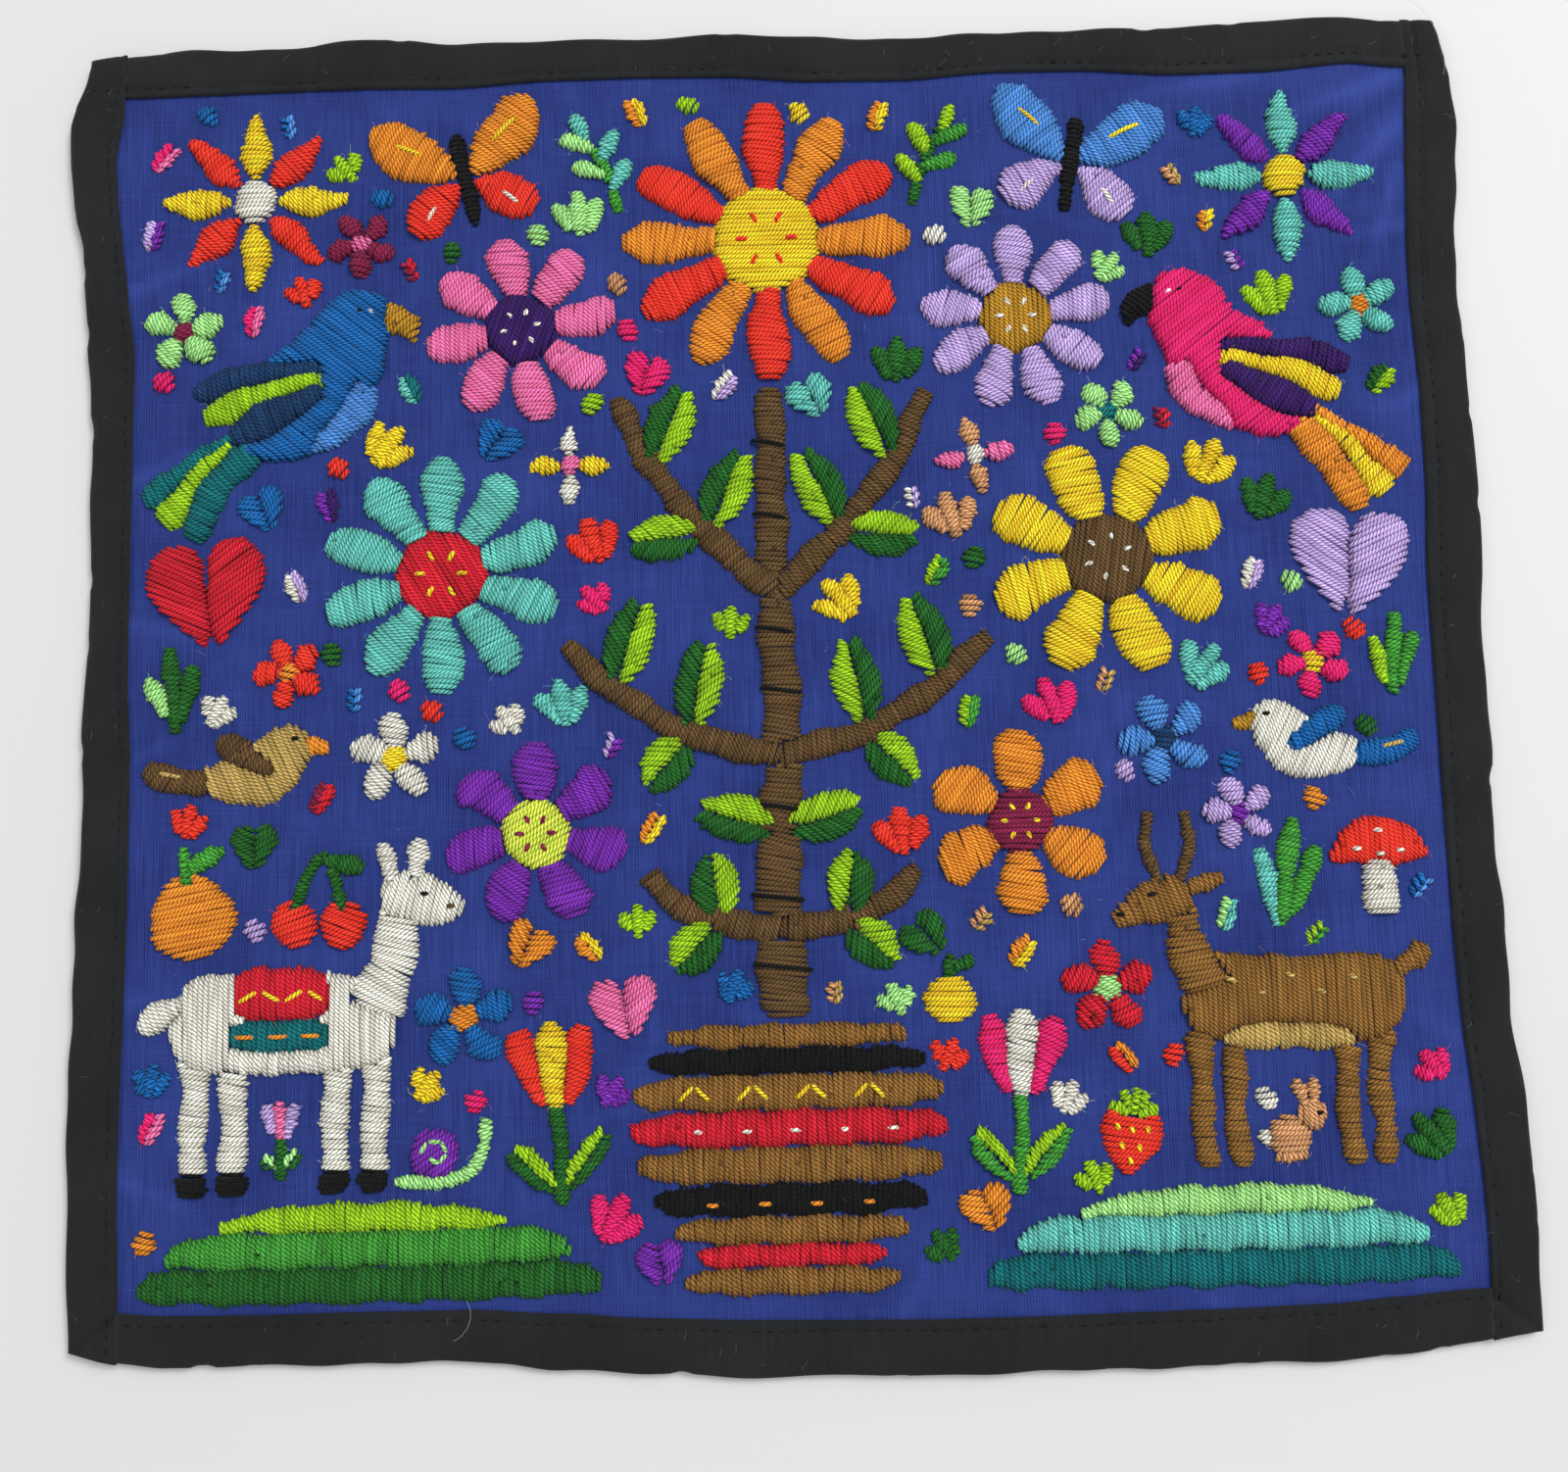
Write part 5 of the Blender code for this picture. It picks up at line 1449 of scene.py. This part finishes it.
KINDS.update({"leaflets": leaflets, "dot": dot})
FILLERS = (
    # kind, radius in mm, tries, most
    ("tuft", 8.8, 700, 14), ("heart", 7.6, 600, 10), ("leaflets", 6.8, 900, 20),
    ("tuft", 6.0, 900, 22), ("leaflets", 5.2, 700, 16), ("dot", 3.9, 1200, 34),
)
PAIRS = (
    ("hot_pink", "pink"), ("lime", "grass_green"), ("orange", "yellow"), ("lake_blue", "sky_blue"),
    ("pale_green", "turquoise"), ("lilac", "violet"), ("red", "orange"), ("dark_green", "lime"),
    ("yellow", "gold"), ("wine", "crimson"), ("white", "lilac"), ("peach", "tan"), ("turquoise", "teal"),
    ("violet", "deep_purple"),
)

gx, gy = np.meshgrid(np.arange(-186, 189, CELL), np.arange(-175, 181, CELL))
free = (gx > inner(LEFT, gy) + RIM_CLEAR) & (gx < inner(RIGHT, gy) - RIM_CLEAR)
free &= (gy > inner(BOTTOM, gx) + RIM_CLEAR) & (gy < inner(TOP, gx) - RIM_CLEAR)
for _, _, _, outlines in laid.values():
    for outline in outlines:
        free &= ~within(gx, gy, grown(outline, ROOM / 2))
bare = free.mean()
free &= np.abs(creases(gx, gy, CREASES)) < FLAT_ENOUGH
fillers = []
for kind, radius, tries, most in FILLERS:
    placed = 0
    for _ in range(tries):
        spots = np.argwhere(free)
        row, column = spots[rng.integers(len(spots))]
        x, y = gx[row, column], gy[row, column]
        disc_cells = np.hypot(gx - x, gy - y) < radius
        to_rims = (x - inner(LEFT, y), inner(RIGHT, y) - x, y - inner(BOTTOM, x), inner(TOP, x) - y)
        if min(to_rims) < radius + 2 or not free[disc_cells].all() or placed == most:
            continue
        placed += 1
        yarns = PAIRS[rng.integers(len(PAIRS))]
        tilt = rng.uniform(-45, 45)
        fillers.append(("filler_" + str(len(fillers)), kind, x, y, 2 * radius, tilt, 1, yarns))
        free &= np.hypot(gx - x, gy - y) > radius + ROOM / 2

filled = [threads_of(motif) for motif in fillers]
filler_rows = np.concatenate([part[0] for part in filled])
filler_yarns = sum([part[1] for part in filled], [])
mesh = thread_mesh("filler_threads", filler_rows, filler_yarns, crowns_of(filler_rows, 0.0), seed=77)
new_object("filler_stitches", mesh)
triangles += 2 * len(mesh.polygons)
print("fillers", len(fillers), "bare ground", round(float(bare), 2), "then", round(float(free.mean()), 2))

# %% [markdown]
# A sewing machine fixed the binding with black thread. Each stitch is a short tube that sinks at both ends
# into the needle holes, and it follows the seam line of its strip, which wanders a little. The top seam runs
# on over both side strips.

# %% Machine seam
SEAM_THREAD = 0.33
SEAM_ARCH = 0.16
SEAM_POINTS = 400
CROSSING_POINTS = 20


def front_surface(name, x, y):
    """Height of a strip's upper face at places on the cloth."""
    table, inward = SIDES[name]
    run, off = (y, x) if name in UPRIGHT else (x, y)
    outer = edge(table, run) + inward * LEAF_START
    fraction = (off - outer) / (inner(table, run) - outer)
    if name in UPRIGHT:
        u = (y - edge(BOTTOM, x)) / (edge(TOP, x) - edge(BOTTOM, x))
    else:
        u = (x - inner(LEFT, y)) / (inner(RIGHT, y) - inner(LEFT, y))
    shape = front_shape(name, np.clip(u, 0, 1), np.clip(fraction, 0, 1), x, y)
    return FRONT_MIDDLE + STRIP_THICK / 2 + shape + lift(x, y)


def seam_rows(name, x, y):
    """Ends of the stitches along a path of places on one strip."""
    run = np.concatenate([[0], np.cumsum(np.hypot(np.diff(x), np.diff(y)))])
    count = int(run[-1] / STITCH)
    middle = (np.arange(count) + 0.5) * run[-1] / count
    ends = []
    for shift in (-0.36 * STITCH, 0.36 * STITCH):
        px, py = (np.interp(middle + shift, run, column) for column in (x, y))
        ends.append(np.stack([px, py, front_surface(name, px, py) + 0.05], axis=1))
    return ends


seams = []
for name, seed in STRIPS.items():
    u = np.linspace(0.004, 0.996, SEAM_POINTS)
    fraction = between(*SEAMS[name], u) + 0.012 * waves(380 * u, 0 * u, 9, 40, 5, seed + 30)
    x, y = strip_xy(name, u, fraction, np.full(SEAM_POINTS, LEAF_START))
    seams.append(seam_rows(name, x, y))
    if name == "top":
        for hand, end in (("left", 0), ("right", -1)):
            outline, inward = SIDES[hand]
            stop = edge(outline, y[[end]])[0] + 2 * inward
            across = np.linspace(x[end], stop, CROSSING_POINTS)
            seams.append(seam_rows(hand, across, np.full(CROSSING_POINTS, y[end])))


def thread_run(a, b, radius, bulge, sides=5, stations=5):
    """Small tubes from a to b that arch up by bulge in the middle."""
    t = np.linspace(0, 1, stations)[None, :, None]
    centre = a[:, None] * (1 - t) + b[:, None] * t
    centre = centre + np.array([0, 0, 1]) * (bulge * np.sin(math.pi * t) - radius * 0.9)
    along_xy = (b - a)[:, :2]
    along_xy = along_xy / np.maximum(np.linalg.norm(along_xy, axis=1), 1e-6)[:, None]
    flank = np.stack([-along_xy[:, 1], along_xy[:, 0], 0 * along_xy[:, 0]], axis=1)
    angles = np.linspace(-0.5, math.pi + 0.5, sides)
    fat = radius * np.sqrt(np.clip(1.05 - (2 * t - 1) ** 2 * 0.75, 0, 1))
    outward = flank[:, None, None] * np.cos(angles)[None, None, :, None]
    ring = outward + np.array([0, 0, 1]) * np.sin(angles)[None, None, :, None]
    points = (centre[:, :, None] + fat[..., None] * ring).reshape(-1, 3)
    return points, tube_quads(len(a), stations, sides)


nodes = Nodes("seam_thread")
fine = nodes.bump(nodes.noise(nodes.uv("weave"), 4.0), 0.2, 0.0001)
seam_black = nodes.finish(linear((8, 9, 10)), 0.6, fine, 0.05)
starts, ends = (np.concatenate(part) for part in zip(*seams))
points, quads = thread_run(starts, ends, SEAM_THREAD, SEAM_ARCH)
mesh = mesh_from("seam_stitches", points, quads)
places = points[quads.ravel()][:, :2].astype(np.float32)
mesh.uv_layers.new(name="weave").data.foreach_set("uv", places.ravel())
mesh.materials.append(seam_black)
new_object("binding_seam", mesh)
triangles += 2 * len(quads)
print("machine stitches", len(starts))

# %% [markdown]
# Wool sheds. Fine fibres stand off the stitches and catch the light along every edge. Each fibre is a narrow
# curved ribbon, because at this size a tube would look no different. Their colours sit in a colour attribute,
# so one material serves all of them. Where there are only a FEW ribbons they are long hairs, which need more
# stations to bend smoothly.

# %% Wool fibres
FIBRES = 11000
FIBRE_WIDE = 0.045
FEW = 9


def ribbons(name, start, heading, length, curl, width, climb, colours, seed):
    """Curved flat ribbons that leave their start along the heading and turn by curl."""
    pick = np.random.default_rng(seed)
    stations = 6 if len(start) > FEW else 14
    t = np.linspace(0, 1, stations)[None, :]
    angle = heading[:, None] + curl[:, None] * t + pick.normal(0, 0.12, (len(start), stations))
    step = length[:, None] / (stations - 1)
    x = start[:, 0:1] + np.cumsum(np.cos(angle) * step, axis=1)
    y = start[:, 1:2] + np.cumsum(np.sin(angle) * step, axis=1)
    z = start[:, 2:3] + climb[:, None] * np.sin(math.pi * 0.5 * t)
    side_x, side_y = -np.sin(angle) * width / 2, np.cos(angle) * width / 2
    left = np.stack([x - side_x, y - side_y, z], axis=-1)
    right = np.stack([x + side_x, y + side_y, z + width / 3], axis=-1)
    points = np.stack([left, right], axis=2)
    mesh = mesh_from(name, points.reshape(-1, 3), tube_quads(len(start), stations, 2))
    paint = mesh.color_attributes.new("fibre", "FLOAT_COLOR", "POINT")
    paint.data.foreach_set("color", np.repeat(colours, stations * 2, axis=0).astype(np.float32).ravel())
    return mesh


fibre = bpy.data.materials.new("loose_fibre")
fibre.use_nodes = True
tone = fibre.node_tree.nodes.new("ShaderNodeAttribute")
tone.attribute_name = "fibre"
surface = fibre.node_tree.nodes["Principled BSDF"].inputs
fibre.node_tree.links.new(tone.outputs["Color"], surface["Base Color"])
surface["Roughness"].default_value = 0.8
surface["Alpha"].default_value = 0.75


def lay_ribbons(name, mesh):
    """Add the ribbons to the scene, and say how many triangles they are."""
    mesh.materials.append(fibre)
    new_object(name, mesh)
    return 2 * len(mesh.polygons)


every_row = np.concatenate([part[0] for part in laid.values()] + [filler_rows])
every_yarn = sum([part[1] for part in laid.values()], []) + filler_yarns
pick = np.random.default_rng(31)
chosen = pick.choice(len(every_row), FIBRES)
t = pick.beta(0.5, 0.5, len(chosen))[:, None]
ends_of = every_row[chosen]
foot = ends_of[:, 0:2] * (1 - t) + ends_of[:, 2:4] * t
tall = GROUND_TOP + 0.5 + 1.35 * np.sin(math.pi * np.clip(t[:, 0], 0.02, 0.98)) ** 0.4
# Each fibre is painted paler than its yarn: a painted highlight for the light it catches.
highlighted_tones = np.array([linear([min(255, c * 1.08 + 14) for c in YARN[every_yarn[k]]]) for k in chosen])
fuzz = ribbons("wool_fuzz", np.column_stack([foot, tall]), pick.uniform(0, 6.3, len(chosen)),
               pick.gamma(2.0, 0.38, len(chosen)) + 0.4, pick.normal(0, 1.6, len(chosen)), FIBRE_WIDE,
               pick.uniform(-0.2, 0.5, len(chosen)), highlighted_tones, 32)
triangles += lay_ribbons("wool_fuzz", fuzz)
print("fibres", len(chosen))

# %% [markdown]
# Bits of lint lie on the ground and on the binding, where black cloth shows them most, and three stray hairs
# lie at the edges. They are the same kind of ribbon as the fibres.

# %% Lint and hairs
LINT_WIDE = 0.05
HAIR_WIDE = 0.09
HAIR_GREY = (150, 150, 148)
LINT = (
    # where it lies, how many, longest in mm, colour
    ("binding", 80, 4.0, (104, 107, 112)), ("ground", 60, 4.0, (140, 150, 185)),
)
HAIRS = (
    # x, y, z, heading in degrees, length in mm, curl in radians
    (194, 205, 4.6, -35, 30, -1.1), (-96, -186, 4.4, 20, 13, 1.6), (112, -170, 3.0, 80, 11, -1.8),
)
spots, lengths, shades = [], [], []
for where, count, longest, colour in LINT:
    for _ in range(count):
        if where == "ground":
            x, y, z = pick.uniform(-180, 185), pick.uniform(-172, 176), GROUND_TOP + 0.25
        else:
            name = list(STRIPS)[pick.integers(4)]
            fraction = pick.uniform(0.1, 0.9)
            x, y = (float(v) for v in strip_xy(name, pick.uniform(0.02, 0.98), fraction, FOLD_R))
            z = FRONT_MIDDLE + STRIP_THICK / 2 + 0.35
        spots.append((x, y, z + float(lift(np.array(x), np.array(y)))))
        lengths.append(pick.uniform(0.6, 1) * longest * pick.uniform(0.2, 1))
        shades.append(linear(colour))
lint = ribbons("lint", np.array(spots), pick.uniform(0, 6.3, len(spots)), np.array(lengths),
               pick.normal(0, 1.1, len(spots)), LINT_WIDE, pick.uniform(0, 0.15, len(spots)),
               np.array(shades), 33)
hairs = np.array(HAIRS, float)
strays = ribbons("stray_hairs", hairs[:, 0:3], np.radians(hairs[:, 3]), hairs[:, 4], hairs[:, 5], HAIR_WIDE,
                 np.zeros(len(hairs)), np.array([linear(HAIR_GREY)] * len(hairs)), 34)
triangles += lay_ribbons("loose_lint", lint) + lay_ribbons("stray_hairs", strays)
print("lint", len(spots), "hairs", len(hairs), "stitch, seam and fibre triangles", triangles)

size = {"cad": [list(corner) for corner in cad_box], "visual": [list(corner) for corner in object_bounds()]}
print("visual box in mm", [[round(c / MM, 1) for c in corner] for corner in size["visual"]])
